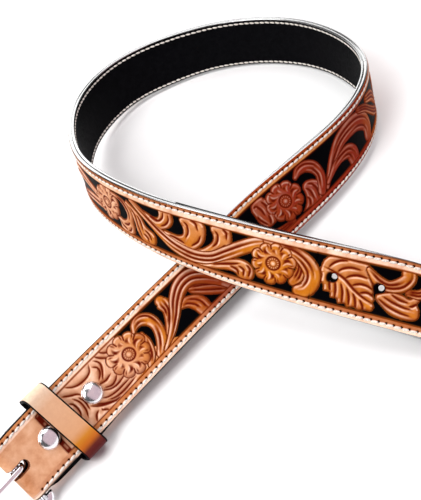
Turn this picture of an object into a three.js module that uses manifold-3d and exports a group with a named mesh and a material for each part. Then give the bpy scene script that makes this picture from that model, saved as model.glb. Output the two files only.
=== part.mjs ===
// Western belt of tooled leather, 38 mm wide and 1.1 m long from its fold to its tip.
// It stands on its edge in an open loop. The tip end crosses over the buckle end and lies flat on the floor.
// Millimetres, +Z up, the floor is z = 0. The belt is seen in the photograph by looking along +Y.
// "along" is the distance from the end of the fold, measured down the middle of the belt.
// v is measured across the belt towards its upper edge, n towards the tooled face.
import * as THREE from 'three';
import Module from 'manifold-3d';

const wasm = await Module();
wasm.setup();

// Belt
const BELT_WIDTH = 38;
const BELT_THICK = 4.8;
const HALF = BELT_WIDTH / 2;
const FACE = BELT_THICK / 2;
const FRONT_THICK = 2.7;
const LINING_THICK = 1.8;
const GAP = 0.3;
const EDGE_BEVEL = 0.45;
const STEP = 8.4;
const TIP_START = 1071;
const TIP_LENGTH = 34;
const TIP_ANGLES = [15, 30, 45, 60, 72, 83];

// Fold round the buckle bar
const BAR_RADIUS = 2;
const BAR_ALONG = 9.65;
const BAR_N = -2.25;
const FOLD_THICK = 2.3;
const FOLD_RADIUS = 3.5;
const LINING_START = 18;
const TURN_BACK_END = 77;
const TURN_BACK_N = -3.85;
const TURN_BACK_MEETS = 28;
const TURN_BACK_SHIFT = -1.2;
const SLOT_WIDTH = 6;
const SLOT_START = -4;
const SLOT_END = 16;

// Holes and snaps
const HOLE_FIRST = 910.8;
const HOLE_PITCH = 25.4;
const HOLE_COUNT = 5;
const HOLE_RADIUS = 2.4;
const HOLE_V = 0.8;
const SNAP_ALONG = [32.1, 65.7];
const SNAP_HOLE_RADIUS = 2.0;
const SNAP_POST_RADIUS = 1.7;
const SNAP_SIDES = 24;

// Keeper loop
const KEEPER_ALONG = 44.2;
const KEEPER_WIDE = 14.4;
const KEEPER_THICK = 1.9;
const KEEPER_HALF = 24.3;
const KEEPER_LOW = -7.2;
const KEEPER_HIGH = 6.7;
const KEEPER_CORNER = 4;
const KEEPER_SKEW = -1 / 12;

// Buckle: "out" is measured away from the belt, from the bar
const BUCKLE_DROOP = 6;
const WIRE_HALF_WIDE = 2.75;
const WIRE_HALF_THICK = 1.9;
const BUCKLE_HALF = 25.25;
const BUCKLE_HEEL = -2.6;
const BUCKLE_FAR = 41.25;
const BUCKLE_CORNER = 4;
const HEEL_END = 21.25;
const PRONG_HALF_WIDE = 1.5;
const PRONG_THICK = 2.2;
const PRONG_RING = 3.4;
const PRONG_REACH = 43.2;

// Shape of the belt's middle line. heading: compass turn of the line on the floor, 0 is +X, 90 is +Y.
// lean: tilt of the belt from upright, with the tooled face turning up. lift: lowest corner above the floor.
const START = { x: -162.1, y: -124.43 };
const STATIONS = [
  { along: 0, heading: 41, lean: 31, lift: 9 },
  { along: 60, heading: 33, lean: 47, lift: 6 },
  { along: 120, heading: 30, lean: 60, lift: 7.5 },
  { along: 180, heading: 29, lean: 60, lift: 6.5 },
  { along: 240, heading: 23, lean: 36, lift: 4.5 },
  { along: 285, heading: 32, lean: 18, lift: 5 },
  { along: 330, heading: 59, lean: 5, lift: 4 },
  { along: 370, heading: 92, lean: -3, lift: 1.5 },
  { along: 410, heading: 116, lean: -5, lift: 0.5 },
  { along: 460, heading: 143, lean: -8, lift: 0 },
  { along: 510, heading: 167, lean: -8, lift: 1 },
  { along: 555, heading: 186, lean: -14, lift: 1.5 },
  { along: 600, heading: 222, lean: -11, lift: 4.5 },
  { along: 645, heading: 250, lean: -3, lift: 10 },
  { along: 690, heading: 270, lean: 5, lift: 16 },
  { along: 740, heading: 289, lean: 11, lift: 26 },
  { along: 790, heading: 304, lean: 19, lift: 30 },
  { along: 840, heading: 314, lean: 30, lift: 29.5 },
  { along: 890, heading: 321, lean: 37, lift: 23.5 },
  { along: 940, heading: 325, lean: 51, lift: 15 },
  { along: 990, heading: 328, lean: 81, lift: 6.5 },
  { along: 1050, heading: 330, lean: 90, lift: 0 },
  { along: 1105, heading: 330, lean: 90, lift: 0 },
];
const BELT_END = 1105;
const PATH_STEP = 2;
const UP = new THREE.Vector3(0, 0, 1);

const rad = THREE.MathUtils.degToRad;

// Smooth curve through one column of the table. It stays level where the column turns round.
function column(name, s) {
  const last = STATIONS.length - 1;
  const at = (k) => STATIONS[k].along;
  const value = (k) => STATIONS[k][name];
  const rise = (k) => (value(k + 1) - value(k)) / (at(k + 1) - at(k));
  const slope = (k) => {
    if (k === 0) return rise(0);
    if (k === last) return 0;
    if (rise(k - 1) * rise(k) <= 0) return 0;
    return (value(k + 1) - value(k - 1)) / (at(k + 1) - at(k - 1));
  };
  const here = Math.min(s, BELT_END);
  if (here < 0) return value(0) + slope(0) * here;
  let k = 0;
  while (k < last - 1 && here >= at(k + 1)) k += 1;
  const h = at(k + 1) - at(k);
  const t = (here - at(k)) / h;
  const t2 = t * t;
  const t3 = t2 * t;
  const fromStart = (2 * t3 - 3 * t2 + 1) * value(k) + (t3 - 2 * t2 + t) * h * slope(k);
  const fromEnd = (3 * t2 - 2 * t3) * value(k + 1) + (t3 - t2) * h * slope(k + 1);
  return fromStart + fromEnd;
}

// Height of the belt's middle line above the floor
function height(s) {
  const lean = rad(column('lean', s));
  return column('lift', s) + FACE * Math.abs(Math.sin(lean)) + HALF * Math.cos(lean);
}

// Direction of the belt, and its two cross directions
function axesAt(s) {
  const heading = rad(column('heading', s));
  const lean = rad(column('lean', s));
  const climb = Math.asin((height(s + 1) - height(s - 1)) / 2);
  const level = Math.cos(climb);
  const T = new THREE.Vector3(level * Math.cos(heading), level * Math.sin(heading), Math.sin(climb));
  const upright = UP.clone().addScaledVector(T, -T.z).normalize();
  const sideways = T.clone().cross(upright);
  const B = upright.clone().multiplyScalar(Math.cos(lean)).addScaledVector(sideways, -Math.sin(lean));
  const N = sideways.clone().multiplyScalar(Math.cos(lean)).addScaledVector(upright, Math.sin(lean));
  return { T, B, N };
}

// Middle line walked once in small steps
const walk = [];
{
  let x = START.x;
  let y = START.y;
  let before = axesAt(0).T;
  for (let s = 0; s <= BELT_END + PATH_STEP; s += PATH_STEP) {
    const here = axesAt(s).T;
    if (s > 0) {
      x += (before.x + here.x) * PATH_STEP / 2;
      y += (before.y + here.y) * PATH_STEP / 2;
    }
    walk.push({ x, y });
    before = here;
  }
}

// Point of the belt at a distance along, across and out of its middle
function place(s, v, n) {
  const k = THREE.MathUtils.clamp(Math.floor(s / PATH_STEP), 0, walk.length - 2);
  const t = s / PATH_STEP - k;
  const { B, N } = axesAt(s);
  const middle = new THREE.Vector3(
    THREE.MathUtils.lerp(walk[k].x, walk[k + 1].x, t),
    THREE.MathUtils.lerp(walk[k].y, walk[k + 1].y, t),
    height(s),
  );
  return middle.addScaledVector(B, v).addScaledVector(N, n);
}

// Closed body through a row of outlines that have the same number of points
function loft(outlines, ring = false) {
  const count = outlines[0].length;
  const points = outlines.flat();
  const index = [];
  const spans = ring ? outlines.length : outlines.length - 1;
  for (let i = 0; i < spans; i += 1) {
    const a = i * count;
    const b = ((i + 1) % outlines.length) * count;
    for (let j = 0; j < count; j += 1) {
      const k = (j + 1) % count;
      index.push(a + j, b + j, b + k, a + j, b + k, a + k);
    }
  }
  if (!ring) {
    const end = (outlines.length - 1) * count;
    for (let j = 1; j < count - 1; j += 1) {
      index.push(0, j, j + 1, end, end + j + 1, end + j);
    }
  }
  return solid(points, index);
}

// Turned body: a profile of { r, n } from the axis to the axis, at a place with directions
function turned(profile, centre, across, along, out, sides) {
  const points = [];
  const index = [];
  profile.forEach(({ r, n }) => {
    const middle = centre.clone().addScaledVector(out, n);
    const row = r === 0 ? 1 : sides;
    for (let i = 0; i < row; i += 1) {
      const a = 2 * Math.PI * i / sides;
      points.push(middle.clone().addScaledVector(across, r * Math.cos(a)).addScaledVector(along, r * Math.sin(a)));
    }
  });
  let first = 0;
  for (let i = 0; i + 1 < profile.length; i += 1) {
    const lower = profile[i].r === 0;
    const upper = profile[i + 1].r === 0;
    const next = first + (lower ? 1 : sides);
    for (let j = 0; j < sides; j += 1) {
      const k = (j + 1) % sides;
      if (lower) index.push(first, next + j, next + k);
      else if (upper) index.push(first + j, next, first + k);
      else index.push(first + j, next + j, next + k, first + j, next + k, first + k);
    }
    first = next;
  }
  return solid(points, index);
}

// Closed body from points and triangles, turned to face outwards
function solid(points, index) {
  let volume = 0;
  for (let i = 0; i < index.length; i += 3) {
    const [a, b, c] = [points[index[i]], points[index[i + 1]], points[index[i + 2]]];
    volume += a.dot(b.clone().cross(c));
  }
  const tris = [];
  for (let i = 0; i < index.length; i += 3) {
    if (volume > 0) tris.push(index[i], index[i + 1], index[i + 2]);
    else tris.push(index[i], index[i + 2], index[i + 1]);
  }
  const vertProperties = new Float32Array(points.flatMap((p) => [p.x, p.y, p.z]));
  const mesh = new wasm.Mesh({ numProp: 3, vertProperties, triVerts: new Uint32Array(tris) });
  return new wasm.Manifold(mesh);
}

// Belt layer outline: bevelled on the side that faces out, with points across both faces so that a twist stays smooth
function layer(half, back, front, bevel) {
  const inner = half - Math.abs(bevel);
  const across = [-1, -0.5, 0, 0.5, 1];
  return [
    { v: -half, n: front - bevel },
    ...across.map((f) => ({ v: half * f, n: back })),
    { v: half, n: front - bevel },
    ...across.map((f) => ({ v: -inner * f, n: front })),
  ];
}

// Distances along the belt where it gets an outline, with its half width there
function stationsFrom(near) {
  const rows = near.map((s) => ({ s, half: HALF }));
  const start = TURN_BACK_MEETS;
  const count = Math.round((TIP_START - start) / STEP);
  for (let i = 0; i <= count; i += 1) {
    rows.push({ s: start + (TIP_START - start) * i / count, half: HALF });
  }
  TIP_ANGLES.forEach((angle) => {
    rows.push({ s: TIP_START + TIP_LENGTH * Math.sin(rad(angle)), half: HALF * Math.cos(rad(angle)) });
  });
  return rows;
}

const ease = (t) => THREE.MathUtils.smoothstep(t, 0, 1);

// Tooled front layer, from the tip to the bar, round the bar and back along the inside
function frontLayer() {
  const outlines = stationsFrom([14, 18, 23]).reverse().map(({ s, half }) => {
    const thin = s < LINING_START ? FRONT_THICK - FOLD_THICK : 0;
    return layer(half, FACE - FRONT_THICK + thin, FACE, EDGE_BEVEL).map((p) => place(s, p.v, p.n));
  });
  const half = FOLD_THICK / 2;
  const rows = [];
  for (let i = 0; i <= 8; i += 1) {
    const turn = Math.PI * i / 8;
    const s = BAR_ALONG - FOLD_RADIUS * Math.sin(turn);
    rows.push({ s, n: BAR_N + FOLD_RADIUS * Math.cos(turn), turn, shift: TURN_BACK_SHIFT * ease(i / 8) });
  }
  const lowest = BAR_N - FOLD_RADIUS;
  for (const s of [14, 18.5, 23, 28, 35, 44, 53, 61, 69, TURN_BACK_END]) {
    const t = THREE.MathUtils.clamp((s - BAR_ALONG) / (TURN_BACK_MEETS - BAR_ALONG), 0, 1);
    const slope = t > 0 && t < 1 ? 6 * t * (1 - t) / (TURN_BACK_MEETS - BAR_ALONG) : 0;
    const n = lowest + (TURN_BACK_N - lowest) * ease(t);
    const turn = Math.PI - Math.atan((TURN_BACK_N - lowest) * slope);
    rows.push({ s, n, turn, shift: TURN_BACK_SHIFT * (1 - ease((s - 30) / 50)) });
  }
  rows.forEach(({ s, n, turn, shift }) => {
    outlines.push(layer(HALF, -half, half, EDGE_BEVEL).map((p) => {
      return place(s - p.n * Math.sin(turn), p.v + shift, n + p.n * Math.cos(turn));
    }));
  });
  return loft(outlines);
}

// Black lining on the inside of the loop
function liningLayer() {
  const outlines = stationsFrom([LINING_START, 23]).reverse().map(({ s, half }) => {
    const top = FACE - FRONT_THICK - GAP;
    return layer(half, top, top - LINING_THICK, -EDGE_BEVEL).map((p) => place(s, p.v, p.n));
  });
  return loft(outlines);
}

// Round punch through the belt
function punch(s, v, radius, low, high) {
  const { T, B, N } = axesAt(s);
  const profile = [{ r: 0, n: low }, { r: radius, n: low }, { r: radius, n: high }, { r: 0, n: high }];
  return turned(profile, place(s, v, 0), B, T, N, 20);
}

// Slot that lets the prong through the fold
function slotCutter() {
  const r = SLOT_WIDTH / 2;
  const outline = [{ s: SLOT_START, v: -r }];
  for (let i = 0; i <= 8; i += 1) {
    const a = Math.PI * (i / 8 - 0.5);
    outline.push({ s: SLOT_END - r + r * Math.cos(a), v: r * Math.sin(a) });
  }
  outline.push({ s: SLOT_START, v: r });
  const { T, B, N } = axesAt(BAR_ALONG);
  const bar = place(BAR_ALONG, 0, BAR_N);
  const at = (p, n) => bar.clone().addScaledVector(T, p.s - BAR_ALONG).addScaledVector(B, p.v).addScaledVector(N, n);
  return loft([-7, 7].map((n) => outline.map((p) => at(p, n))));
}

// Keeper: a strip bent to a closed loop round the belt, a little askew
function keeperLoop() {
  const r = KEEPER_CORNER;
  const corners = [
    { v: KEEPER_HALF - r, n: KEEPER_HIGH - r, from: 0 },
    { v: r - KEEPER_HALF, n: KEEPER_HIGH - r, from: 90 },
    { v: r - KEEPER_HALF, n: KEEPER_LOW + r, from: 180 },
    { v: KEEPER_HALF - r, n: KEEPER_LOW + r, from: 270 },
  ];
  const half = KEEPER_WIDE / 2;
  const bevel = 0.4;
  const strip = [
    { d: -half, t: KEEPER_THICK },
    { d: half, t: KEEPER_THICK },
    { d: half, t: bevel },
    { d: half - bevel, t: 0 },
    { d: bevel - half, t: 0 },
    { d: -half, t: bevel },
  ];
  const outlines = [];
  corners.forEach(({ v, n, from }) => {
    for (let i = 0; i <= 4; i += 1) {
      const a = rad(from + 22.5 * i);
      outlines.push(strip.map(({ d, t }) => {
        const across = v + (r - t) * Math.cos(a);
        const out = n + (r - t) * Math.sin(a);
        return place(KEEPER_ALONG + d + across * KEEPER_SKEW, across, out);
      }));
    }
  });
  return loft(outlines, true);
}

// Buckle directions: out from the belt, across, and up from the tooled face, drooping a little
const buckle = (() => {
  const { T, B, N } = axesAt(BAR_ALONG);
  const c = Math.cos(rad(BUCKLE_DROOP));
  const s = Math.sin(rad(BUCKLE_DROOP));
  const out = T.clone().multiplyScalar(-c).addScaledVector(N, -s);
  const up = N.clone().multiplyScalar(c).addScaledVector(T, -s);
  return { centre: place(BAR_ALONG, 0, BAR_N), out, across: B, up };
})();

function onBuckle(out, across, up) {
  const p = buckle.centre.clone().addScaledVector(buckle.out, out);
  return p.addScaledVector(buckle.across, across).addScaledVector(buckle.up, up);
}

// Chrome frame: a wire bent to a rectangle, with a round bar across its open end
function buckleFrame() {
  const r = BUCKLE_CORNER;
  const side = BUCKLE_HALF - r;
  const line = [];
  const corner = (out, across, from, to) => {
    for (let i = 0; i <= 4; i += 1) {
      const a = rad(from + (to - from) * i / 4);
      line.push({ out: out + r * Math.cos(a), across: across + r * Math.sin(a), a });
    }
  };
  corner(BUCKLE_HEEL + r, side, 180, 90);
  corner(BUCKLE_FAR - r, side, 90, 0);
  corner(BUCKLE_FAR - r, -side, 0, -90);
  corner(BUCKLE_HEEL + r, -side, -90, -180);
  const wire = line.map(({ out, across, a }) => {
    const section = [];
    for (let i = 0; i < 10; i += 1) {
      const b = 2 * Math.PI * i / 10;
      const wide = WIRE_HALF_WIDE * Math.cos(b);
      section.push(onBuckle(out + wide * Math.cos(a), across + wide * Math.sin(a), WIRE_HALF_THICK * Math.sin(b)));
    }
    return section;
  });
  const bar = [-HEEL_END - 1.5, HEEL_END + 1.5].map((across) => {
    const section = [];
    for (let i = 0; i < 16; i += 1) {
      const b = 2 * Math.PI * i / 16;
      section.push(onBuckle(BAR_RADIUS * Math.cos(b), across, BAR_RADIUS * Math.sin(b)));
    }
    return section;
  });
  return loft(wire).add(loft(bar));
}

// Chrome prong: a flat hook round the bar, then a straight shank that rests on the far side of the frame
function buckleProng() {
  const half = PRONG_THICK / 2;
  const line = [];
  for (let i = 0; i <= 10; i += 1) {
    const a = rad(10 - 28 * i);
    line.push({ out: PRONG_RING * Math.cos(a), up: PRONG_RING * Math.sin(a), a, wide: PRONG_HALF_WIDE, half });
  }
  const rest = WIRE_HALF_THICK + GAP + half;
  const top = rad(-270);
  line.push({ out: 6, up: PRONG_RING, a: top, wide: PRONG_HALF_WIDE, half });
  line.push({ out: 30, up: rest, a: top, wide: PRONG_HALF_WIDE, half });
  line.push({ out: 39, up: rest, a: top, wide: 1.4, half });
  line.push({ out: PRONG_REACH, up: rest - 0.15, a: top, wide: 1.0, half: half * 0.7 });
  const sections = line.map((p) => {
    const flat = 0.55;
    const rim = [
      { w: -p.wide, t: -flat * p.half },
      { w: -flat * p.wide, t: -p.half },
      { w: flat * p.wide, t: -p.half },
      { w: p.wide, t: -flat * p.half },
      { w: p.wide, t: flat * p.half },
      { w: flat * p.wide, t: p.half },
      { w: -flat * p.wide, t: p.half },
      { w: -p.wide, t: flat * p.half },
    ];
    return rim.map(({ w, t }) => onBuckle(p.out + t * Math.cos(p.a), w, p.up + t * Math.sin(p.a)));
  });
  return loft(sections);
}

// Domed snap cap with its post
const SNAP_CAP = [
  { r: 0, n: -5.0 },
  { r: SNAP_POST_RADIUS, n: -5.0 },
  { r: SNAP_POST_RADIUS, n: FACE + GAP },
  { r: 5.9, n: FACE + GAP },
  { r: 6.25, n: 3.0 },
  { r: 5.7, n: 3.7 },
  { r: 4.6, n: 4.35 },
  { r: 3.1, n: 4.95 },
  { r: 1.5, n: 5.3 },
  { r: 0, n: 5.4 },
];

// Plain snap back on the inside of the turned-back end
const SNAP_BACK = [
  { r: 0, n: -5.3 },
  { r: 4.3, n: -5.3 },
  { r: 4.4, n: -5.6 },
  { r: 4.0, n: -6.2 },
  { r: 0, n: -6.4 },
];

function snapPart(s, profile) {
  const { T, B, N } = axesAt(s);
  return turned(profile, place(s, 0, 0), B, T, N, SNAP_SIDES);
}

// Assembly
const LOOKS = {
  tooled: { color: 0xc67f3c, roughness: 0.5, metalness: 0 },
  lining: { color: 0x0c0c10, roughness: 0.45, metalness: 0 },
  keeper: { color: 0xdba478, roughness: 0.5, metalness: 0 },
  chrome: { color: 0xd8dadd, roughness: 0.15, metalness: 1 },
};

const belt = new THREE.Group();
belt.name = 'western_belt';

function addPiece(name, body, look) {
  const made = body.getMesh();
  const geometry = new THREE.BufferGeometry();
  geometry.setAttribute('position', new THREE.BufferAttribute(new Float32Array(made.vertProperties), 3));
  geometry.setIndex(new THREE.BufferAttribute(new Uint32Array(made.triVerts), 1));
  geometry.computeVertexNormals();
  const mesh = new THREE.Mesh(geometry, new THREE.MeshStandardMaterial(LOOKS[look]));
  mesh.name = name;
  belt.add(mesh);
}

let front = frontLayer().subtract(slotCutter());
let lining = liningLayer();
for (let i = 0; i < HOLE_COUNT; i += 1) {
  const hole = punch(HOLE_FIRST + HOLE_PITCH * i, HOLE_V, HOLE_RADIUS, -4, 4);
  front = front.subtract(hole);
  lining = lining.subtract(hole);
}
SNAP_ALONG.forEach((s) => {
  const hole = punch(s, 0, SNAP_HOLE_RADIUS, -8, 4);
  front = front.subtract(hole);
  lining = lining.subtract(hole);
});

addPiece('strap_front', front, 'tooled');
addPiece('strap_lining', lining, 'lining');
addPiece('keeper', keeperLoop(), 'keeper');
addPiece('buckle_frame', buckleFrame(), 'chrome');
addPiece('buckle_prong', buckleProng(), 'chrome');
SNAP_ALONG.forEach((s, i) => {
  addPiece(`snap_cap_${i + 1}`, snapPart(s, SNAP_CAP), 'chrome');
  addPiece(`snap_back_${i + 1}`, snapPart(s, SNAP_BACK), 'chrome');
});

export default belt;
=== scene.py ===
"""Western belt of tooled leather: carved front, black lining, stitching, keeper, snaps and chrome buckle.

Lengths are in millimetres until a mesh is made. "s" runs along the belt from the end of its fold,
"v" across it towards the upper edge, and "n" out of it towards the tooled face.
"""
import math

import bpy
import numpy as np
from mathutils import Matrix, Vector


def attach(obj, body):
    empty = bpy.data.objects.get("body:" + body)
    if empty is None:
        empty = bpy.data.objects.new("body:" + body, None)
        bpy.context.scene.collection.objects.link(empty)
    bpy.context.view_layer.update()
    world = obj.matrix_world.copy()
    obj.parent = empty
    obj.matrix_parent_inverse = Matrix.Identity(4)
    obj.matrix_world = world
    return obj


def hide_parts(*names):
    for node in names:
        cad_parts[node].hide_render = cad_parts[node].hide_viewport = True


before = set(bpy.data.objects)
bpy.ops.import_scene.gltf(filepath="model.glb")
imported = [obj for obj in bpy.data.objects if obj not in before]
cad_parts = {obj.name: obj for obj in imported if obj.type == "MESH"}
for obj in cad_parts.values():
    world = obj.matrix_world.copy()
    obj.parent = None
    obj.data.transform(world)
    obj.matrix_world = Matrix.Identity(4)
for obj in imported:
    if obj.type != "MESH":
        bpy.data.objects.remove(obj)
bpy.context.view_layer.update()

# Camera, as the photograph was taken
CAMERA_PLACE = (-18.6, -366.77, 384.52)
CAMERA_AIM = (-18.6, 0.77, 0.0)
CAMERA_ROLL = -22.28
CAMERA_LENS = 59.57
SENSOR = 36.0


def linked(name, data):
    """A new object in the scene."""
    thing = bpy.data.objects.new(name, data)
    bpy.context.scene.collection.objects.link(thing)
    return thing


def make_camera():
    """The camera, aimed and then rolled about its view."""
    data = bpy.data.cameras.new("camera")
    data.lens = CAMERA_LENS
    data.sensor_fit = "VERTICAL"
    data.sensor_height = SENSOR
    data.clip_start = 0.01
    data.clip_end = 20.0
    camera = linked("camera", data)
    stand = Vector(CAMERA_PLACE) / 1000
    back = (stand - Vector(CAMERA_AIM) / 1000).normalized()
    right = Vector((0, 0, 1)).cross(back).normalized()
    up = back.cross(right)
    roll = math.radians(-CAMERA_ROLL)
    across = right * math.cos(roll) - up * math.sin(roll)
    upward = right * math.sin(roll) + up * math.cos(roll)
    turned = Matrix((across, upward, back)).transposed().to_4x4()
    camera.matrix_world = Matrix.Translation(stand) @ turned
    bpy.context.scene.camera = camera


make_camera()

# Belt sizes
HALF = 19.0
FACE = 2.4
SPLIT = -0.45
BELT_END = 1105.0
TIP_START = 1071.0
TIP_LENGTH = 34.0
BAR_S = 9.65
BAR_N = -2.25
FOLD_RADIUS = 3.5
FOLD_THICK = 2.3
TURN_BACK_N = -3.85
TURN_BACK_MEETS = 28.0
TURN_BACK_END = 77.0
TURN_BACK_SHIFT = -1.2
TURN_BACK_MORE = -1.6
TURN_BACK_STRAIGHTENS = 30.0
LINING_START = 18.0
LINING_EDGE_WORN = 812.0
HOLE_PITCH = 25.4
HOLES = [910.8 + HOLE_PITCH * i for i in range(5)]
HOLE_V = 0.8
HOLE_RADIUS = 2.4
SLOT_RADIUS = 3.0
SLOT_CENTRE = 13.0
SNAPS = (32.1, 65.7)

# Middle line of the belt: heading and lean in degrees, lift of the lowest corner above the floor
START = (-162.1, -124.43)
COLUMNS = ("along", "heading", "lean", "lift")
STATIONS = (
    (0, 41, 31, 9),
    (60, 33, 47, 6),
    (120, 30, 60, 7.5),
    (180, 29, 60, 6.5),
    (240, 23, 36, 4.5),
    (285, 32, 18, 5),
    (330, 59, 5, 4),
    (370, 92, -3, 1.5),
    (410, 116, -5, 0.5),
    (460, 143, -8, 0),
    (510, 167, -8, 1),
    (555, 186, -14, 1.5),
    (600, 222, -11, 4.5),
    (645, 250, -3, 10),
    (690, 270, 5, 16),
    (740, 289, 11, 26),
    (790, 304, 19, 30),
    (840, 314, 30, 29.5),
    (890, 321, 37, 23.5),
    (940, 325, 51, 15),
    (990, 328, 81, 6.5),
    (1050, 330, 90, 0),
    (1105, 330, 90, 0),
)
TABLE = {name: np.array([row[i] for row in STATIONS], float) for i, name in enumerate(COLUMNS)}


def column(name, s):
    """Smooth curve through one column, level where the column turns round."""
    at, value = TABLE["along"], TABLE[name]
    rise = np.diff(value) / np.diff(at)
    slope = np.zeros(len(at))
    slope[0] = rise[0]
    across = (value[2:] - value[:-2]) / (at[2:] - at[:-2])
    slope[1:-1] = np.where(rise[1:] * rise[:-1] > 0, across, 0)
    s = np.asarray(s, float)
    here = np.clip(s, 0, BELT_END)
    k = np.clip(np.searchsorted(at, here, side="right") - 1, 0, len(at) - 2)
    h = at[k + 1] - at[k]
    t = (here - at[k]) / h
    out = (2 * t**3 - 3 * t**2 + 1) * value[k] + (t**3 - 2 * t**2 + t) * h * slope[k]
    out = out + (3 * t**2 - 2 * t**3) * value[k + 1] + (t**3 - t**2) * h * slope[k + 1]
    return np.where(s < 0, value[0] + slope[0] * s, out)


def height(s):
    """Height of the belt's middle line above the floor."""
    lean = np.radians(column("lean", s))
    return column("lift", s) + FACE * np.abs(np.sin(lean)) + HALF * np.cos(lean)


def axes(s):
    """Directions along, across and out of the belt."""
    heading = np.radians(column("heading", s))
    lean = np.radians(column("lean", s))[..., None]
    climb = np.arcsin((height(s + 1) - height(s - 1)) / 2)
    flat = np.cos(climb)
    T = np.stack([flat * np.cos(heading), flat * np.sin(heading), np.sin(climb)], -1)
    upright = np.array([0, 0, 1.0]) - T * T[..., 2:3]
    upright /= np.linalg.norm(upright, axis=-1, keepdims=True)
    sideways = np.cross(T, upright)
    B = np.cos(lean) * upright - np.sin(lean) * sideways
    N = np.cos(lean) * sideways + np.sin(lean) * upright
    return T, B, N


# Places on the floor below the middle line, by steps along it
WALK_STEP = 2.0
WALK = np.arange(0, BELT_END + 3, WALK_STEP)
WALK_WAY = axes(WALK)[0][:, :2]
WALK_LEGS = (WALK_WAY[1:] + WALK_WAY[:-1]) * (WALK_STEP / 2)
WALK_XY = np.vstack([[0, 0], np.cumsum(WALK_LEGS, axis=0)]) + np.array(START)


def place(s, v, n):
    """Points of the belt, in millimetres. s, v and n are numbers or arrays that fit together."""
    s, v, n = np.broadcast_arrays(np.asarray(s, float), np.asarray(v, float), np.asarray(n, float))
    k = np.clip((s / WALK_STEP).astype(int), 0, len(WALK) - 2)
    t = (s / WALK_STEP - k)[..., None]
    xy = WALK_XY[k] * (1 - t) + WALK_XY[k + 1] * t
    middle = np.concatenate([xy, height(s)[..., None]], -1)
    _, B, N = axes(s)
    return middle + v[..., None] * B + n[..., None] * N


def smooth(t):
    """Eases from 0 to 1."""
    t = np.clip(t, 0, 1)
    return t * t * (3 - 2 * t)


# Carving, as the leather lies flat. Relief is in millimetres above the face, the others run from 0 to 1.
CELL = 0.2
GRID_S = int(BELT_END / CELL) + 2
GRID_V = int(2 * HALF / CELL) + 1
GROUND_DEPTH = 0.8
CUT_DEPTH = 0.4
# Borders of the carved field, rows of (along, across)
FIELD_TOP = ((0, 13.3), (690, 13.3), (760, 12.4), (900, 12.4), (950, 13.0), (1105, 13.0))
FIELD_LOW = ((0, -13.5), (690, -13.5), (760, -13.9), (1105, -13.7))
FIELD_START = 34.4

relief = np.full((GRID_S, GRID_V), -GROUND_DEPTH, np.float32)
cut = np.zeros((GRID_S, GRID_V), np.float32)
ground = np.ones((GRID_S, GRID_V), np.float32)
light = np.zeros((GRID_S, GRID_V), np.float32)


def between(s, table):
    """Value of a short table of (along, value) at places along the belt."""
    return np.interp(s, [row[0] for row in table], [row[1] for row in table])


def window(s0, s1, v0, v1):
    """The part of the carving grid between two places along and two across."""
    i0, i1 = max(0, int(s0 / CELL)), min(GRID_S, int(s1 / CELL) + 2)
    j0, j1 = max(0, int((v0 + HALF) / CELL)), min(GRID_V, int((v1 + HALF) / CELL) + 2)
    s, v = np.meshgrid(np.arange(i0, i1) * CELL, np.arange(j0, j1) * CELL - HALF, indexing="ij")
    return (slice(i0, i1), slice(j0, j1)), s, v


def ridge(d, width):
    """A soft bump, 1 in its middle."""
    return np.exp(-((d / width) ** 2))


def cut_line(d, width):
    """How much of a cut there is at a distance from its middle."""
    return np.clip(1.8 * ridge(d, width), 0, 1)


def stroke(d, width, tilt=1.0):
    """A cut whose shaded side (d above 0) is broad and whose lit side is steep."""
    return cut_line(d, np.where(d > 0, width * (1 + 0.5 * tilt), width * (1 - tilt) + 0.35 * tilt))


def lay(area, inside, groove, shine, rise, stain_and_shade):
    """Puts a motif over what is there: its own height, cut lines, painted highlights on its crests and
    painted shade on its slopes.
    """
    relief[area] = np.where(inside, rise - CUT_DEPTH * groove, relief[area])
    cut[area] = np.where(inside, np.maximum(groove, stain_and_shade), cut[area])
    ground[area] = np.where(inside, 0, ground[area])
    light[area] = np.where(inside, np.clip(shine, 0, 1) * (1 - groove), light[area])


def moved(points, shift):
    """Rows whose first value is a place along the belt, moved along it."""
    return [(p[0] + shift, *p[1:]) for p in points]


def curve(points, step=0.35):
    """Smooth path through rows of (along, across, half width)."""
    p = np.array(points, float)
    p = np.vstack([2 * p[0] - p[1], p, 2 * p[-1] - p[-2]])
    out = []
    for k in range(1, len(p) - 2):
        count = max(2, int(np.hypot(*(p[k + 1] - p[k])[:2]) / step))
        t = np.arange(count)[:, None] / count
        a, b, c, d = p[k - 1 : k + 3]
        straight = 2 * b + (c - a) * t
        out.append(0.5 * (straight + (2 * a - 5 * b + 4 * c - d) * t**2 + (3 * b - a - 3 * c + d) * t**3))
    return np.vstack(out + [p[-2:-1]])


def nearest(path, s, v):
    """Distance to a path, the nearest step on it, the distance to its left, and how well lit its left is."""
    near = np.full(s.shape, 1e9)
    which = np.zeros(s.shape, int)
    for k in range(len(path)):
        d = (s - path[k, 0]) ** 2 + (v - path[k, 1]) ** 2
        closer = d < near
        near[closer] = d[closer]
        which[closer] = k
    along = np.gradient(path[:, :2], axis=0)
    along /= np.maximum(np.linalg.norm(along, axis=1, keepdims=True), 1e-6)
    left = along[which, 0] * (v - path[which, 1]) - along[which, 1] * (s - path[which, 0])
    lit = np.clip(1.6 * (0.87 * along[:, 0] + 0.5 * along[:, 1]), -1, 1)
    return np.sqrt(near), which, left, lit[which]


def around(path, margin):
    """The part of the carving grid round a path."""
    low, high = path[:, :2].min(0) - margin, path[:, :2].max(0) + margin
    return window(low[0], high[0], low[1], high[1])


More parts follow.
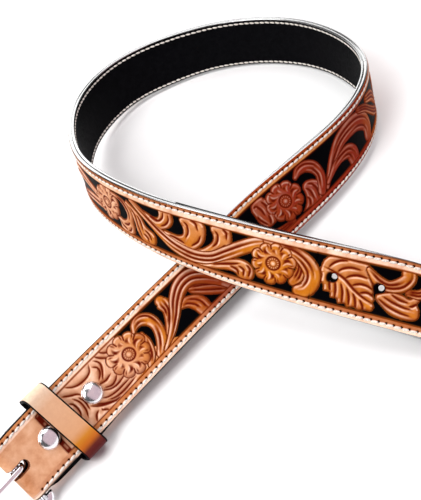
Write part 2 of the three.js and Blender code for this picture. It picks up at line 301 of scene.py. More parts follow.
def band(points, veins, shine):
    """A stem or scroll: a domed ribbon along a path. Its veins are rows of (fraction of its half width,
    from, to), or a fraction alone for a cut line all along it."""
    path = curve(points)
    half = np.maximum(path[:, 2], 0.25)
    area, s, v = around(path, half.max() + 0.5)
    reach, which, left, lit = nearest(path, s, v)
    w = half[which]
    f = np.clip(reach / w, 0, 1)
    t = which / (len(path) - 1)
    upper = left * np.sign(lit)
    bright = np.abs(lit) ** 0.5
    groove = cut_line(w - reach, 0.55)
    # Painted highlight on the lit side of the ribbon and beside each vein, painted shade on its shaded side
    highlight = 0.8 * bright * ridge(upper - w + 1.35, 0.1 * w + 0.3)
    slope = 0.7 * bright * ridge(np.minimum(upper + w, 0.4 * w), 0.3 * w)
    for vein in veins:
        offset, start, stop = vein if isinstance(vein, tuple) else (vein, -0.1, 1.1)
        fade = np.sqrt(np.clip(np.minimum(t - start, stop - t) * 6, 0, 1))
        beside = (left - offset * w) * np.sign(lit)
        groove = np.maximum(groove, fade * stroke(beside, 0.15 + 0.5 * fade, bright))
        slope = np.maximum(slope, 0.55 * fade * ridge(beside, 2.2) * np.clip(beside, 0, 1) * bright)
        highlight = np.maximum(highlight, fade * bright * ridge(beside + 0.95, 0.42))
    highlight = highlight + 0.3 * bright * np.clip(upper / w, 0, 1)
    lay(area, reach < w, groove, shine * highlight, 0.15 - 0.65 * f**2.6 - 0.22 * slope, slope)


def incise(points, width=0.72, shine=0.9):
    """A cut line that tapers at both ends: painted shade on its shaded side, a painted highlight on the lit
    one.
    """
    path = curve([(*p[:2], 1.0) for p in points], 0.25)
    area, s, v = around(path, 2.4)
    reach, which, left, lit = nearest(path, s, v)
    t = which / (len(path) - 1)
    taper = np.sqrt(np.clip(np.sin(math.pi * np.clip(t, 0.02, 0.98)), 0, 1))
    bare = ground[area] < 0.5
    upper = left * np.sign(lit)
    bright = np.abs(lit) ** 0.5
    side = np.where(upper > 0, 1 + 0.5 * bright, 1 - bright + 0.45 * bright)
    groove = cut_line(reach, width * (0.25 + 0.75 * taper) * side) * np.clip(2 * taper, 0, 1) * bare
    slope = 0.55 * ridge(reach, 0.5 + 2.4 * width) * np.clip(upper, 0, 1) * bright * taper * bare
    relief[area] = relief[area] - CUT_DEPTH * groove - 0.2 * slope
    cut[area] = np.maximum(cut[area], np.maximum(groove, slope))
    highlight = shine * taper * bright * ridge(upper + 0.95, 0.45) * (reach < 1.9) * bare
    light[area] = np.maximum(light[area] * (1 - np.maximum(groove, slope)), highlight * (1 - groove))


def patch(outline, edge=1.0):
    """A flat shape inside a smooth outline of (along, across), cut round its edge."""
    ring = curve([(*p, 1.0) for p in (*outline, outline[0])], 0.3)
    area, s, v = around(ring, 1.0)
    reach, _, left, lit = nearest(ring, s, v)
    inside = np.zeros(s.shape, bool)
    for a, b in zip(ring, np.roll(ring, -1, axis=0)):
        crosses = (a[1] > v) != (b[1] > v)
        inside ^= crosses & (s < (b[0] - a[0]) * (v - a[1]) / (b[1] - a[1] + 1e-12) + a[0])
    # Painted shade along its shaded edges, painted highlight along its lit ones and towards its upper side
    over = np.clip(-left * np.sign(lit) * np.abs(lit), -1, 1) > 0
    slope = 0.65 * edge * ridge(reach, 1.8) * ~over
    glow = 0.35 * np.clip((v - ring[:, 1].min()) / np.ptp(ring[:, 1]), 0, 1) ** 1.5
    shine = 0.7 * edge * np.maximum(over * ridge(reach - 1.2, 0.45), glow)
    lay(area, inside, edge * cut_line(reach, 0.55), shine, 0.12 - 0.5 * edge * np.exp(-reach / 0.8), slope)


def draw_bands(bands, shift=0.0):
    """Stems and scrolls, one over the other."""
    for points, veins, shine in bands:
        band(moved(points, shift), veins, shine)


def draw_shapes(shapes, shift=0.0):
    """Flat shapes, each with the strokes cut into it."""
    for outline, strokes in shapes:
        patch(moved(outline, shift))
        for points in strokes:
            incise(moved(points, shift))


def flower(shift, s0, v0, radius, petals, turn, core, stretch):
    """An open flower: scalloped petals with dark crescents, round a ringed and beaded centre."""
    s0 = s0 + shift
    area, s, v = window(s0 - radius * stretch, s0 + radius * stretch, v0 - radius, v0 + radius)
    x, y = (s - s0) / stretch, v - v0
    r, a = np.hypot(x, y), np.arctan2(y, x)
    lit = 0.94 * np.sin(a) - 0.33 * np.cos(a)
    a = a - turn
    one = 2 * math.pi / petals
    k = np.round(a / one)
    off = a - k * one
    wave = np.abs(np.cos(off * petals / 2))
    edge = radius * (1 - 0.07 * np.abs(np.sin(2.3 * k + turn))) * (0.83 + 0.17 * wave**0.5)
    across = r * np.sin(off)
    part = (r - core) / (radius - core)
    from_next = r * math.sin(math.pi / petals) - np.abs(across)
    groove = cut_line(edge - r, 0.55)
    groove = np.maximum(groove, cut_line(from_next, 0.15 + 0.4 * np.clip(part, 0, 1)) * (part > 0.45))
    low, high = 0.12 + 0.1 * np.abs(np.sin(k)), 0.62 + 0.12 * np.cos(1.7 * k)
    taper = np.sqrt(np.clip(np.minimum(part - low, high - part) * 5, 0, 1))
    bow = across - 0.06 * radius + 1.3 * radius * (part - 0.45) ** 2
    groove = np.maximum(groove, taper * stroke(bow, 0.15 + 0.75 * taper))
    fade = np.sqrt(np.clip(np.minimum(part - 0.5, 0.86 - part) * 5, 0, 1))
    second = cut_line(across + 0.13 * radius - (part - 0.7) ** 2 * 9, 0.1 + 0.3 * fade)
    groove = np.maximum(groove, fade * second)
    # Painted highlight beside the petal strokes and round the lit side of the rim, painted shade round its
    # shaded side
    highlight = taper * ridge(bow + 1.0, 0.45) + 0.9 * ridge(edge - r - 1.35, 0.5) * np.clip(0.6 + lit, 0, 1)
    highlight = highlight + 0.35 * np.clip(0.6 - part, 0, 1) * np.clip(lit, 0, 1)
    slope = 0.75 * ridge(edge - r, 2.2) * np.clip(0.35 - lit, 0, 1)
    rise = 0.05 - 0.4 * (1 - wave) * np.clip(part, 0, 1) - 0.25 * np.clip((part - 0.75) * 4, 0, 1)
    beads = 0.5 - 0.5 * np.cos(14 * a)
    in_ring = (r > core * 0.55) & (r < core * 0.9)
    middle = np.maximum(cut_line(r - core, 0.5), 0.9 * ridge(r - core * 0.5, 0.32))
    middle = np.where(in_ring, np.maximum(middle, 0.85 * (1 - beads)), middle)
    groove = np.where(r < core + 0.7, middle, groove)
    highlight = np.where(r < core, np.where(in_ring, 0.5 * beads, ridge(r, 0.9)), highlight)
    lay(area, r < edge, groove, 0.75 * highlight, np.where(r < core, 0.05, rise), np.where(r < core, 0, slope))


# Cut lines on the plain leather of the buckle end, and where it ends, rows of (along, across)
BUCKLE_END_CUTS = (
    ((56.5, 13.0), (60.0, 9.8), (64.0, 8.0), (69.0, 7.7), (73.0, 9.0), (75.4, 12.4)),
    ((52.0, 10.2), (56.0, 7.2), (59.2, 5.2), (60.8, 3.2)),
    ((52.2, 5.0), (54.2, 2.0), (54.2, -2.0), (52.6, -5.0)),
    ((55.6, 5.5), (57.6, 1.0), (57.2, -4.0), (55.0, -8.0)),
    ((58.6, 3.6), (59.8, -0.5), (58.8, -5.5)),
    ((60.0, -4.6), (64.0, -8.5), (68.5, -11.3), (73.5, -13.3)),
    ((62.6, -5.8), (67.0, -9.6), (71.5, -12.2), (76.0, -13.2)),
    ((57.0, -13.0), (59.4, -10.4), (61.6, -9.4)),
    ((66.0, -13.2), (63.8, -11.2), (63.4, -9.8)),
    ((67.4, -6.0), (71.0, -8.4), (77.0, -9.6), (86.5, -9.6)),
    ((69.5, -9.2), (73.5, -11.4), (80.0, -12.2), (89.5, -11.4)),
    ((70.5, -3.2), (75.0, -6.3), (80.0, -7.1), (86.0, -6.2)),
    ((72.5, -3.2), (76.5, -5.2), (80.0, -4.7), (82.8, -2.8)),
    ((75.6, 10.0), (77.8, 7.0), (76.8, 4.2), (73.2, 1.8)),
    ((78.6, 12.0), (80.6, 8.2), (79.0, 4.8), (75.0, 0.4)),
    ((71.5, 0.2), (76.0, -1.0), (80.5, -0.2)),
    ((80.6, 13.0), (82.8, 9.8), (86.6, 6.2)),
    ((84.2, 13.0), (86.6, 10.2), (90.2, 8.6)),
)
BUCKLE_END_EDGE = ((90, -5), (104, -6), (112, -8.2), (118, -10.6), (121.5, -14.2), (90, -14.2))
# Stems and scrolls: rows of (along, across, half width), then their veins and how strong the painted
# highlights on their crests are
BUCKLE_SIDE = (
    (((100, -13, 2.0), (105, -8.5, 2.8), (108.2, -2.0, 2.6), (109.0, 3.0, 1.6)),
     ((-0.2, 0.1, 0.8), (0.4, 0.3, 1.0)), 0.5),
    (((106.8, 7.2, 1.4), (110.3, 9.5, 2.7), (114.5, 9.6, 3.6), (118.2, 6.5, 3.9), (119.0, 1.5, 3.5),
      (117.3, -4.0, 3.6), (113.5, -9.0, 3.4), (108.5, -12.6, 2.6)),
     ((0.45, 0.1, 0.6), (-0.35, 0.0, 0.35), (-0.2, 0.5, 1.0)), 0.8),
    (((150, 1, 3), (157, -4.5, 4.6), (164, -10.5, 4.6)), (-0.4, 0.3), 0.3),
    (((120, -7.5, 1.3), (126, -2.2, 2.1), (130, 2.5, 3.1), (131, 7.0, 4.3), (131, 9.0, 3.4)),
     ((-0.3, 0.2, 1.0), (0.3, 0.45, 1.0)), 0.6),
    (((136, -1, 2), (142, -2.6, 3.6), (146.2, -7.5, 5.2), (146.6, -12.5, 5.0)),
     ((-0.35, 0.1, 0.9), (0.3, 0.3, 1.1)), 0.35),
    (((112, -13, 1.2), (121, -9.2, 2.2), (130, -3.4, 3.0), (138, 3.2, 4.3), (146, 7.2, 5.0),
      (154, 7.0, 5.6), (161, 2.0, 5.6), (167, -6.0, 5.4), (170, -12, 5)),
     ((-0.3, 0.05, 0.9), (0.3, 0.2, 1.0)), 1.0),
)
TURN = (
    (((186, 9, 3), (196, 4, 4), (205, -5, 4), (214, -11, 3), (228, -12.5, 1.6)), (-0.3, 0.3), 0.4),
    (((246, 7.8, 1.7), (250, 9.7, 3.0), (255, 9.3, 3.7), (259.5, 5.5, 4.0), (260.9, 0.0, 3.5),
      (259.4, -5.0, 3.6), (255.5, -10.5, 3.2)),
     ((0.35, 0.0, 0.6), (-0.35, 0.3, 0.95)), 0.7),
    (((260, -11.5, 1.5), (268, -4.8, 2.6), (276, 1.2, 3.7), (285, 5.8, 5.0), (295, 7.2, 6.0),
      (304, 5.6, 6.3), (311, 0.5, 6.2), (313.2, -5.5, 5.8), (311, -10.5, 5.0)),
     ((-0.5, 0.55, 1.0), (-0.12, 0.05, 0.7), (0.35, 0.3, 0.95)), 0.5),
    (((262, -9.5, 1.5), (272, -5.0, 2.6), (280, -3.5, 3.4), (286.5, -4.5, 5.0), (289.4, -8.5, 6.0),
      (289, -13, 5.2)),
     ((-0.35, 0.5, 1.0), (0.3, 0.3, 0.95)), 0.4),
    (((309, 10.5, 2.4), (317, 6.0, 2.8), (324, -1.0, 3.0), (331, -7.5, 3.4), (339, -12.5, 3)),
     (-0.3, 0.3), 0.5),
)
NEAR_LEFT = (
    (((666, -12.5, 1.2), (678, -7.5, 3.4), (691, -1.0, 5.0), (704, 4.2, 5.2), (717, 5.8, 4.6),
      (730, 4.2, 3.6), (743, 1, 2.4)),
     ((0.1, 0.1, 0.9),), 1.0),
    (((704, -12.5, 1.4), (716, -8.6, 2.8), (728, -6.4, 3.6), (742, -5.4, 3.8)), (0.0,), 0.7),
    (((780, 12, 1.6), (788, 6.5, 2.3), (796, 1.4, 2.7), (805, -3.8, 3.5), (815, -7.9, 4.4),
      (828, -9.6, 4.4), (840, -7.3, 4.3), (849, -1.7, 4.3), (857, 3.7, 4.3), (865, 8.5, 4.1),
      (872, 11.5, 3)),
     ((-0.35, 0.3, 0.85), (0.25, 0.0, 1.0)), 1.0),
)
NEAR_RIGHT = (
    (((889, 5.5, 1.6), (892.6, 1.5, 2.6), (892.2, -3.5, 3.4), (889.8, -7.0, 2.6)),
     ((-0.3, 0.1, 0.9), (0.3, 0.2, 0.9)), 0.2),
    (((871, 12.0, 1.6), (881, 11.0, 2.2), (889, 9.0, 3.5), (895.5, 5.0, 4.6), (899.4, 0.0, 4.8),
      (899.8, -5.0, 4.8), (897.4, -9.6, 4.6), (893.4, -11.0, 3.2)),
     ((-0.45, 0.35, 1.0), (0.15, 0.15, 0.75), (0.55, 0.05, 0.45)), 0.7),
    (((928, 9.5, 1.6), (934, 4.6, 3.0), (940, 3.0, 3.2), (946, 5.2, 4.2), (949, 9.5, 4.0),
      (948, 13, 3.6)),
     ((-0.35, 0.25, 1.0), (0.2, 0.0, 0.8)), 0.6),
    (((951, 2, 2), (957, 3, 3), (963, 8, 3.4), (970, 11.5, 2)), (-0.3, 0.3), 0.5),
)
# Flat shapes: an outline, then the strokes cut into it, rows of (along, across)
TURN_SHAPES = (
    (((211.0, 9.6), (213.0, 12.4), (217.0, 13.3), (221.4, 12.6), (223.4, 9.4), (229.0, 9.4),
      (228.0, 2.0), (220.0, -4.4), (214.8, -5.2), (211.8, -4.6), (209.8, 0.4), (210.4, 5.4)),
     (((212.8, 10.2), (215.2, 9.8), (216.4, 6.4), (215.6, 2.0)),
      ((211.6, 5.4), (211.8, 1.4), (213.2, -3.2)),
      ((219.6, 10.6), (220.4, 6.6), (219.6, 3.2)),
      ((217.6, 1.2), (216.6, -2.0), (214.8, -4.0)))),
    (((237, -12.2), (241.4, -9.6), (244.6, -5.6), (245.6, -1.0), (247.4, 1.2), (250.6, 1.6),
      (254.4, -0.2), (257.4, -3.6), (258.4, -8.4), (256.4, -13.4), (246, -13.8)),
     (((249.6, -0.2), (252.6, -3.0), (253.4, -7.4), (251.4, -12.4)),
      ((247.2, -1.6), (249.0, -5.4), (248.2, -11.0)),
      ((244.8, -6.2), (245.4, -9.4), (243.4, -12.4)))),
)
CURLS = (
    (((789.0, 8.6), (793.5, 7.6), (798.0, 6.6), (801.4, 7.4), (802.6, 10.0), (802.6, 13.4),
      (811.0, 13.4), (813.0, 9.5), (812.6, 6.0), (810.4, 3.0), (806.6, 0.8), (800.0, -1.6),
      (793.0, 3.0)),
     (((806.4, 12.4), (806.0, 8.6), (803.4, 5.6), (799.4, 4.0)),
      ((809.8, 11.6), (810.2, 7.6), (807.8, 4.2), (804.0, 2.2)),
      ((795.0, 6.2), (799.0, 5.0), (802.0, 5.6)))),
    (((804.0, -1.4), (806.6, 0.4), (812.0, 0.2), (816.2, 0.2), (819.6, 1.6), (820.4, 4.0), (819.6, 6.6),
      (818.0, 9.0), (817.4, 11.2), (820.0, 13.2), (826.0, 13.4), (831.0, 13.4), (834.4, 10.8),
      (835.4, 6.0), (834.6, 1.0), (832.0, -3.0), (827.0, -6.5), (818.0, -6.0), (810.0, -3.6)),
     (((820.6, 10.4), (823.4, 7.8), (824.2, 4.0), (822.4, 0.0)),
      ((824.6, 12.2), (828.6, 10.6), (830.6, 7.0)),
      ((832.6, 4.6), (831.0, 0.0), (826.6, -3.8)),
      ((810.0, -1.6), (816.0, -2.4), (822.0, -3.6)))),
    (((829.0, -4.6), (833.0, -3.4), (836.4, -1.0), (839.2, 2.0), (840.2, 4.6), (839.8, 7.0),
      (838.4, 9.4), (838.0, 11.8), (841.0, 13.3), (846.0, 13.4), (850.0, 12.4), (851.6, 8.0),
      (851.4, 4.0), (849.0, 0.5), (845.0, -3.6), (838.0, -7.0), (831.0, -7.6)),
     (((841.0, 10.2), (843.4, 7.0), (843.2, 3.0), (840.4, -0.4)),
      ((845.2, 12.2), (848.2, 9.8), (848.8, 6.6)),
      ((848.4, 3.4), (845.6, -0.6), (841.0, -4.0)))),
    (((761.0, 11.5), (767.0, 10.8), (774.0, 8.6), (780.0, 5.6), (781.0, 1.0), (780.6, -4.0),
      (781.0, -8.4), (779.0, -13.8), (768.0, -13.8), (765.6, -8.2), (763.4, -6.2), (766.4, -5.0),
      (770.5, -5.6), (774.0, -3.4), (774.6, 1.0), (771.0, 6.2), (765.5, 8.4), (761.0, 9.0)),
     (((767.0, 9.4), (773.0, 6.8), (777.2, 1.4), (777.6, -3.6)),
      ((777.4, -5.4), (775.0, -8.0), (771.0, -8.6)),
      ((767.6, -7.4), (769.6, -10.8), (773.6, -12.2)),
      ((778.6, -8.4), (777.0, -11.4), (774.4, -12.6)))),
    (((776.0, 10.5), (783.0, 6.6), (788.0, 2.4), (791.6, -2.6), (797.6, -5.2), (799.6, -9.0),
      (797.6, -13.6), (788.0, -13.8), (783.4, -9.4), (781.6, -3.0), (779.4, 3.0), (775.0, 8.0)),
     (((779.6, 6.6), (783.6, 1.0), (785.4, -5.0), (788.4, -11.6)),
      ((784.6, 3.2), (787.8, -1.6), (789.4, -6.4)),
      ((790.6, -5.4), (794.2, -7.8), (796.2, -10.6)),
      ((789.4, -8.4), (792.6, -10.4), (794.0, -12.8)))),
    (((826.0, -13.6), (836.0, -11.8), (843.0, -8.8), (849.0, -5.4), (854.0, -3.4), (859.0, -2.4),
      (863.4, -3.4), (866.6, -6.0), (867.6, -9.5), (866.4, -12.8), (862.0, -13.9), (858.6, -13.4),
      (855.6, -11.4), (850.0, -11.6), (843.0, -13.2), (834.0, -14.2)),
     (((841.0, -11.0), (848.0, -8.6), (854.0, -6.8), (858.4, -5.0)),
      ((862.2, -4.6), (865.0, -7.6), (864.6, -11.6)),
      ((857.6, -6.6), (861.2, -8.6), (861.6, -12.0)),
      ((852.6, -8.2), (857.0, -9.4), (858.8, -12.0)))),
)
BIG_LEAF = (
    ((904.0, 9.3), (907, 12.2), (914, 12.6), (922, 12.4), (927.5, 12.0), (928.3, 9.0), (929.6, 5.5),
     (932.0, 2.0), (933.4, -1.4), (933.2, -3.4), (934.6, -5.6), (934.2, -7.4), (935.2, -9.4),
     (934.4, -12.0), (930.4, -12.4), (927.4, -13.2), (924.8, -12.2), (921.4, -13.2),
     (919.6, -11.6), (916.2, -12.4), (914.8, -10.0), (911.6, -10.2), (910.6, -7.6), (907.2, -7.4),
     (906.4, -4.6), (904.6, -2.4), (904.4, 1.0), (903.2, 3.4), (903.4, 6.6)),
    (((905, 5.6), (911, 3.8), (917, 1.2), (923, -3.2), (929, -6.4), (935, -8.2)),
     ((917, 11.4), (913, 10.6), (909.8, 8.6), (907.4, 5.6)),
     ((924.5, 8.0), (919, 8.0), (915, 6.6), (912.4, 4.2)),
     ((929, 4.4), (924, 4.8), (920, 3.8), (917, 1.8)),
     ((932.6, -1.0), (929, 0.4), (925, 0.4), (921.2, -1.2)),
     ((933.8, -4.4), (930, -3.2), (926, -4.2)),
     ((909.4, -1.6), (910.8, -6.6)),
     ((912.2, -0.4), (913.6, -5.0), (914.2, -10.0)),
     ((915.4, -0.8), (917.6, -6.0), (918.4, -11.8)),
     ((919.0, -2.6), (921.4, -7.5), (922.2, -12.2)),
     ((922.8, -4.8), (925.2, -9.0), (926.0, -12.5)),
     ((927.0, -7.4), (929.4, -10.8), (930.0, -12.5))),
)
SMALL_LEAF = (
    ((934.6, -2.6), (938, -0.8), (943, 0.6), (948, 0.4), (952, -0.6), (954.5, 1.6), (957.5, 0.2),
     (956.6, -2.6), (958.4, -5.4), (958.8, -9.6), (956, -11.6), (950, -12.2), (944, -11.2),
     (939, -8.2), (935.2, -5.2)),
    (((936, -4.4), (942, -7.6), (949, -9.4), (955, -9.8)),
     ((938, -2.8), (944, -5.0), (950, -6.2), (954.6, -6.2)),
     ((942, -0.8), (947, -2.8), (952, -3.2)),
     ((956.4, -2.4), (954.4, -4.4), (952.6, -4.8))),
)
# Flowers: along, across, radius, petals, turn in radians, radius of the centre, stretch along the belt
BUCKLE_FLOWER = (95.6, 0.2, 13.6, 10, 0.2, 3.6, 1.06)
TURN_FLOWER = (231.5, 0.6, 13.4, 9, 0.15, 3.9, 1.03)
NEAR_LEFT_FLOWER = (754.6, 0.8, 13.4, 9, 0.4, 3.9, 1.05)
NEAR_RIGHT_FLOWER = (877.3, 0.4, 13.0, 10, 0.28, 3.7, 1.06)
# How far along the stretches that the photograph doesn't show repeat the others
TURN_REPEAT = 136.5
TIP_REPEAT = 110.0
# The plain leather: its end in the field, its depth, and how pale it is in the field and before it
PLAIN_END = 96.5
PLAIN_DEPTH = 0.1
PLAIN_FIELD_LIGHT = 0.58
PLAIN_LIGHT = 0.42


def draw_turn(shift=0.0, last=False):
    """The right-hand turn of the belt. Hidden stretches repeat it, the last one without its far end."""
    draw_bands(TURN[:1], shift)
    draw_shapes(TURN_SHAPES, shift)
    flower(shift, *TURN_FLOWER)
    draw_bands(TURN[1:2] if last else TURN[1:], shift)


def draw_near_right(shift=0.0):
    """The near stretch with the belt holes, which is repeated in the tip."""
    draw_bands(NEAR_RIGHT[:2], shift)
    flower(shift, *NEAR_RIGHT_FLOWER)
    draw_shapes((SMALL_LEAF, BIG_LEAF), shift)
    draw_bands(NEAR_RIGHT[2:], shift)


def draw_field():
    """The carved field from the buckle end to the tip. What comes later lies over what came before."""
    plain = window(0, PLAIN_END, -HALF, HALF)[0]
    relief[plain] = -PLAIN_DEPTH
    ground[plain] = 0
    light[plain] = PLAIN_FIELD_LIGHT
    patch(BUCKLE_END_EDGE, 0.0)
    for points in BUCKLE_END_CUTS:
        incise(points, 0.6, 1.0)
    draw_bands(BUCKLE_SIDE[:1])
    flower(0.0, *BUCKLE_FLOWER)
    draw_bands(BUCKLE_SIDE[1:])
    for repeat in (3, 2, 1, 0):
        draw_turn(repeat * TURN_REPEAT, repeat == 3)
    draw_near_right(TIP_REPEAT)
    draw_bands(NEAR_LEFT[:2])
    flower(0.0, *NEAR_LEFT_FLOWER)
    draw_shapes(CURLS[:3])
    draw_bands(NEAR_LEFT[2:])
    draw_shapes(CURLS[3:])
    draw_near_right()


# Looks of the strips beside the field, with painted highlight and painted shade on them, and of its pale
# stretches, rows of (along, value)
STRIP_HIGHLIGHT = ((0, 1.0), (150, 1.0), (205, 0.15), (330, 0.1), (345, 0.5), (700, 0.5), (740, 0.7),
               (1105, 0.9))
STRIP_SHADE = ((0, 0.0), (40, 0.2), (160, 0.25), (205, 0.0), (700, 0.25), (780, 0.45), (1105, 0.45))
DYED_BEYOND = ((0, 18.1), (600, 18.1), (690, 17.85), (1105, 17.85))
PALE = ((0, 0), (70, 0.3), (92, 0.4), (100, 0.15), (112, 0), (690, 0), (720, 0.4), (765, 0.45), (785, 0.1),
        (800, 0.0), (1105, 0))
PALE_HALF = 12.6
# Places across where the strips with painted highlight end, the edges round off, the lower edge is dyed, the
# rows with painted shade lie
UPPER_STRIP_TO = 16.9
LOWER_STRIP_TO = -15.7
ROUNDED_FROM = 17.6
LOWER_DYED_FROM = -17.8
LOWER_SHADE_ROWS = (-15.9, -13.0)
SHADE_ROWS_BEYOND = 16.6
LOWER_DYE_END = 37.0


def draw_borders():
    """The frame line round the field, the strips beside it with painted highlight and painted shade, the
    stitching grooves and the bare buckle end.
    "w" is v drawn out in the tip, so that its rounded edge lies at HALF too."""
    _, s, v = window(0, BELT_END, -HALF, HALF)
    tip = s > TIP_START
    t = np.clip((s - TIP_START) / TIP_LENGTH, 0, 1)
    squeeze = np.where(tip, np.sqrt(np.maximum(1 - t**2, 1e-4)), 1)
    w = np.where(tip, v / squeeze, v)
    from_end = HALF - (BELT_END - s) * 0.8
    w = np.where(tip, np.where(w < 0, -1, 1) * np.maximum(np.abs(w), from_end), w)
    top, low = between(s, FIELD_TOP), between(s, FIELD_LOW)
    out = (w > top) | (w < low)
    frame_line = ridge(np.minimum(np.abs(w - top), np.abs(w - low)), 0.4) * (s > FIELD_START)
    flecks = 0.5 * ridge(s - FIELD_START - 1.2, 0.6) * np.clip(np.sin(1.1 * v) + np.sin(0.47 * v), 0, 1)
    end_line = np.where((s > FIELD_START - 0.8) & (s < FIELD_START + 2.8), 1 - flecks, 0)
    frame_line = np.maximum(frame_line, end_line * ~out)
    groove = ridge(np.where(w > 0, w - STITCH_V["upper"], w - STITCH_V["lower"]), 0.75)
    edge = np.clip((np.abs(w) - ROUNDED_FROM) / 1.4, 0, 1)
    strip = -0.12 - 0.3 * groove - np.where(w > 0, 0.5, 0.3) * edge**2 - CUT_DEPTH * frame_line
    turning = smooth(t) * (w < 0)
    beside = np.where(turning > 0, -w, w)
    as_upper = np.where(w < 0, turning, 1)
    upper_strip = smooth((beside - top - 0.4) / 0.6) * smooth((UPPER_STRIP_TO - beside) / 0.5) * as_upper
    lower_strip = smooth((LOWER_STRIP_TO - w) / 0.5) * (1 - turning)
    # Painted highlight on the strips beside the field, weak along the shaded stretches, and painted shade on
    # the other rows
    lit = between(s, STRIP_HIGHLIGHT)
    strip_highlight = np.maximum(lit * np.maximum(1.1 * upper_strip, 1.2 * lower_strip), 0.2 * (lit > 0.3))
    plain = PLAIN_LIGHT * (s < FIELD_START) * (w < SHADE_ROWS_BEYOND)
    lower_strip_shade = (1 - turning) * ((w < LOWER_SHADE_ROWS[1]) & (w > LOWER_SHADE_ROWS[0])) + turning * (w < -SHADE_ROWS_BEYOND)
    strip_shade = between(s, STRIP_SHADE) * np.where(w < 0, lower_strip_shade, w > SHADE_ROWS_BEYOND)
    upper_dye = smooth((beside - between(s, DYED_BEYOND)) / 0.4) * as_upper
    lower_dye = smooth((LOWER_DYED_FROM - w) / 0.4) * smooth((LOWER_DYE_END - s) / 2)
    sunk = np.where(frame_line > 0.3, -CUT_DEPTH * frame_line, 9)
    relief[:] = np.where(out, strip, np.minimum(relief, sunk))
    cut[:] = np.where(out, np.maximum(frame_line, strip_shade), np.maximum(cut, frame_line))
    dyed = np.maximum(upper_dye, lower_dye)
    ground[:] = np.where(out, dyed, ground * (1 - np.clip(frame_line * 0.6, 0, 1)))
    # Painted shadow: black in the gap between the keeper and the first snap
    ground[np.hypot((s - FIELD_START - 0.9) / 2.6, (w + 0.3) / 6.2) < 1] = 1
    light[:] = np.where(out, np.maximum(strip_highlight, plain) * (1 - frame_line), light)
    bare = (s < FIELD_START) & ~out & (ground < 1)
    relief[bare] = -PLAIN_DEPTH - CUT_DEPTH * frame_line[bare]
    cut[bare] = frame_line[bare]
    ground[bare] = 0
    light[bare] = PLAIN_LIGHT


def blurred(layer, reach):
    """A layer averaged over a few millimetres each way."""
    count = int(reach / CELL)
    for _ in range(2):
        for axis in (0, 1):
            pads = [(count + 1, count) if a == axis else (0, 0) for a in (0, 1)]
            total = np.cumsum(np.pad(layer, pads, mode="edge"), axis=axis, dtype=np.float64)
            high = np.take(total, np.arange(2 * count + 1, total.shape[axis]), axis=axis)
            low = np.take(total, np.arange(0, total.shape[axis] - 2 * count - 1), axis=axis)
            layer = ((high - low) / (2 * count + 1)).astype(np.float32)
    return layer


def antique():
    """Antique stain settles in the low places of the carving and is rubbed off the high ones."""
    leather = ground < 0.5
    level = np.where(leather, relief, 0)
    share = blurred(leather.astype(np.float32), 0.8)
    mean = blurred(level.astype(np.float32), 0.8) / np.maximum(share, 0.05)
    settle = np.where(leather, mean - relief, 0)
    cut[:] = np.clip(np.maximum(cut, 2.6 * settle), 0, 1)
    v = np.arange(GRID_V) * CELL - HALF
    pale = between(np.arange(GRID_S) * CELL, PALE)[:, None] * (np.abs(v) < PALE_HALF)
    light[:] = np.clip(np.maximum(light, pale * leather) + 0.5 * np.clip(-settle - 0.04, 0, 1), 0, 1)


# Stitching: each row's place across, and rows of (along, how far the holes there are moved along)
STITCH_V = {"upper": 16.2, "lower": -16.6}
STITCH_PITCH = 4.15
STITCH_SHIFT = {
    "upper": ((155, 0.3), (200, 1.5), (325, 1.5), (350, -0.25), (690, -0.25), (715, -0.85)),
    "lower": ((60, 2.8), (80, 1.6), (155, 1.6), (200, 3.2), (325, 3.2), (350, 2.1), (690, 2.1), (715, 1.6)),
}
TIP_INSET = 2.7


def stitch_holes():
    """Places of the awl holes, along and across: the upper row, the lower row and the one round the tip."""
    rows = []
    for side, shift in STITCH_SHIFT.items():
        at = np.arange(2, TIP_START / STITCH_PITCH - 1) * STITCH_PITCH
        at = at + between(at, shift)
        rows.append(np.stack([at, np.full(len(at), STITCH_V[side])], 1))
    angle = np.radians(np.linspace(90, -90, 200))
    reach, rise = TIP_LENGTH - TIP_INSET, HALF - TIP_INSET
    tip = np.stack([TIP_START + reach * np.cos(angle), rise * np.sin(angle)], 1)
    tip = np.vstack([rows[0][-1], tip, rows[1][-1]])
    gone = np.concatenate([[0], np.cumsum(np.hypot(*np.diff(tip, axis=0).T))])
    at = np.linspace(0, gone[-1], round(gone[-1] / STITCH_PITCH) + 1)
    rows.append(np.stack([np.interp(at, gone, tip[:, 0]), np.interp(at, gone, tip[:, 1])], 1))
    return rows


def mark_awl_holes():
    """A dark pit at each awl hole, a little above the thread: a sunken hole, darkened further with painted
    shade.
    """
    for row in stitch_holes():
        for s0, v0 in row:
            area, s, v = window(s0 - 1.4, s0 + 1.4, v0 - 1.2, v0 + 1.8)
            r = np.hypot((s - s0) / 0.7, (v - v0 - 0.5) / 0.7)
            pit = np.clip(2.0 - 1.5 * r, 0, 1)
            relief[area] = np.minimum(relief[area], -0.6 * pit - 0.15)
            cut[area] = np.maximum(cut[area], pit)
            ground[area] = np.maximum(ground[area], pit**2)
            light[area] = light[area] * (1 - pit)


def mark_belt_holes():
    """A dark, slightly sunken rim round each belt hole, with painted shadow that makes it wider and blacker
    on the side towards the buckle.
    """
    for s0 in HOLES:
        area, s, v = window(s0 - 5, s0 + 5, HOLE_V - 5, HOLE_V + 5)
        reach = 0.4 + 0.9 * np.clip((s0 - s) / 3, 0, 1)
        rim = cut_line(np.maximum(np.hypot(s - s0, v - HOLE_V) - HOLE_RADIUS, 0), reach)
        relief[area] -= 0.25 * rim
        cut[area] = np.maximum(cut[area], rim)
        ground[area] = np.maximum(ground[area], rim * np.clip((s0 - s) / 2, 0.3, 1))
        light[area] *= 1 - rim


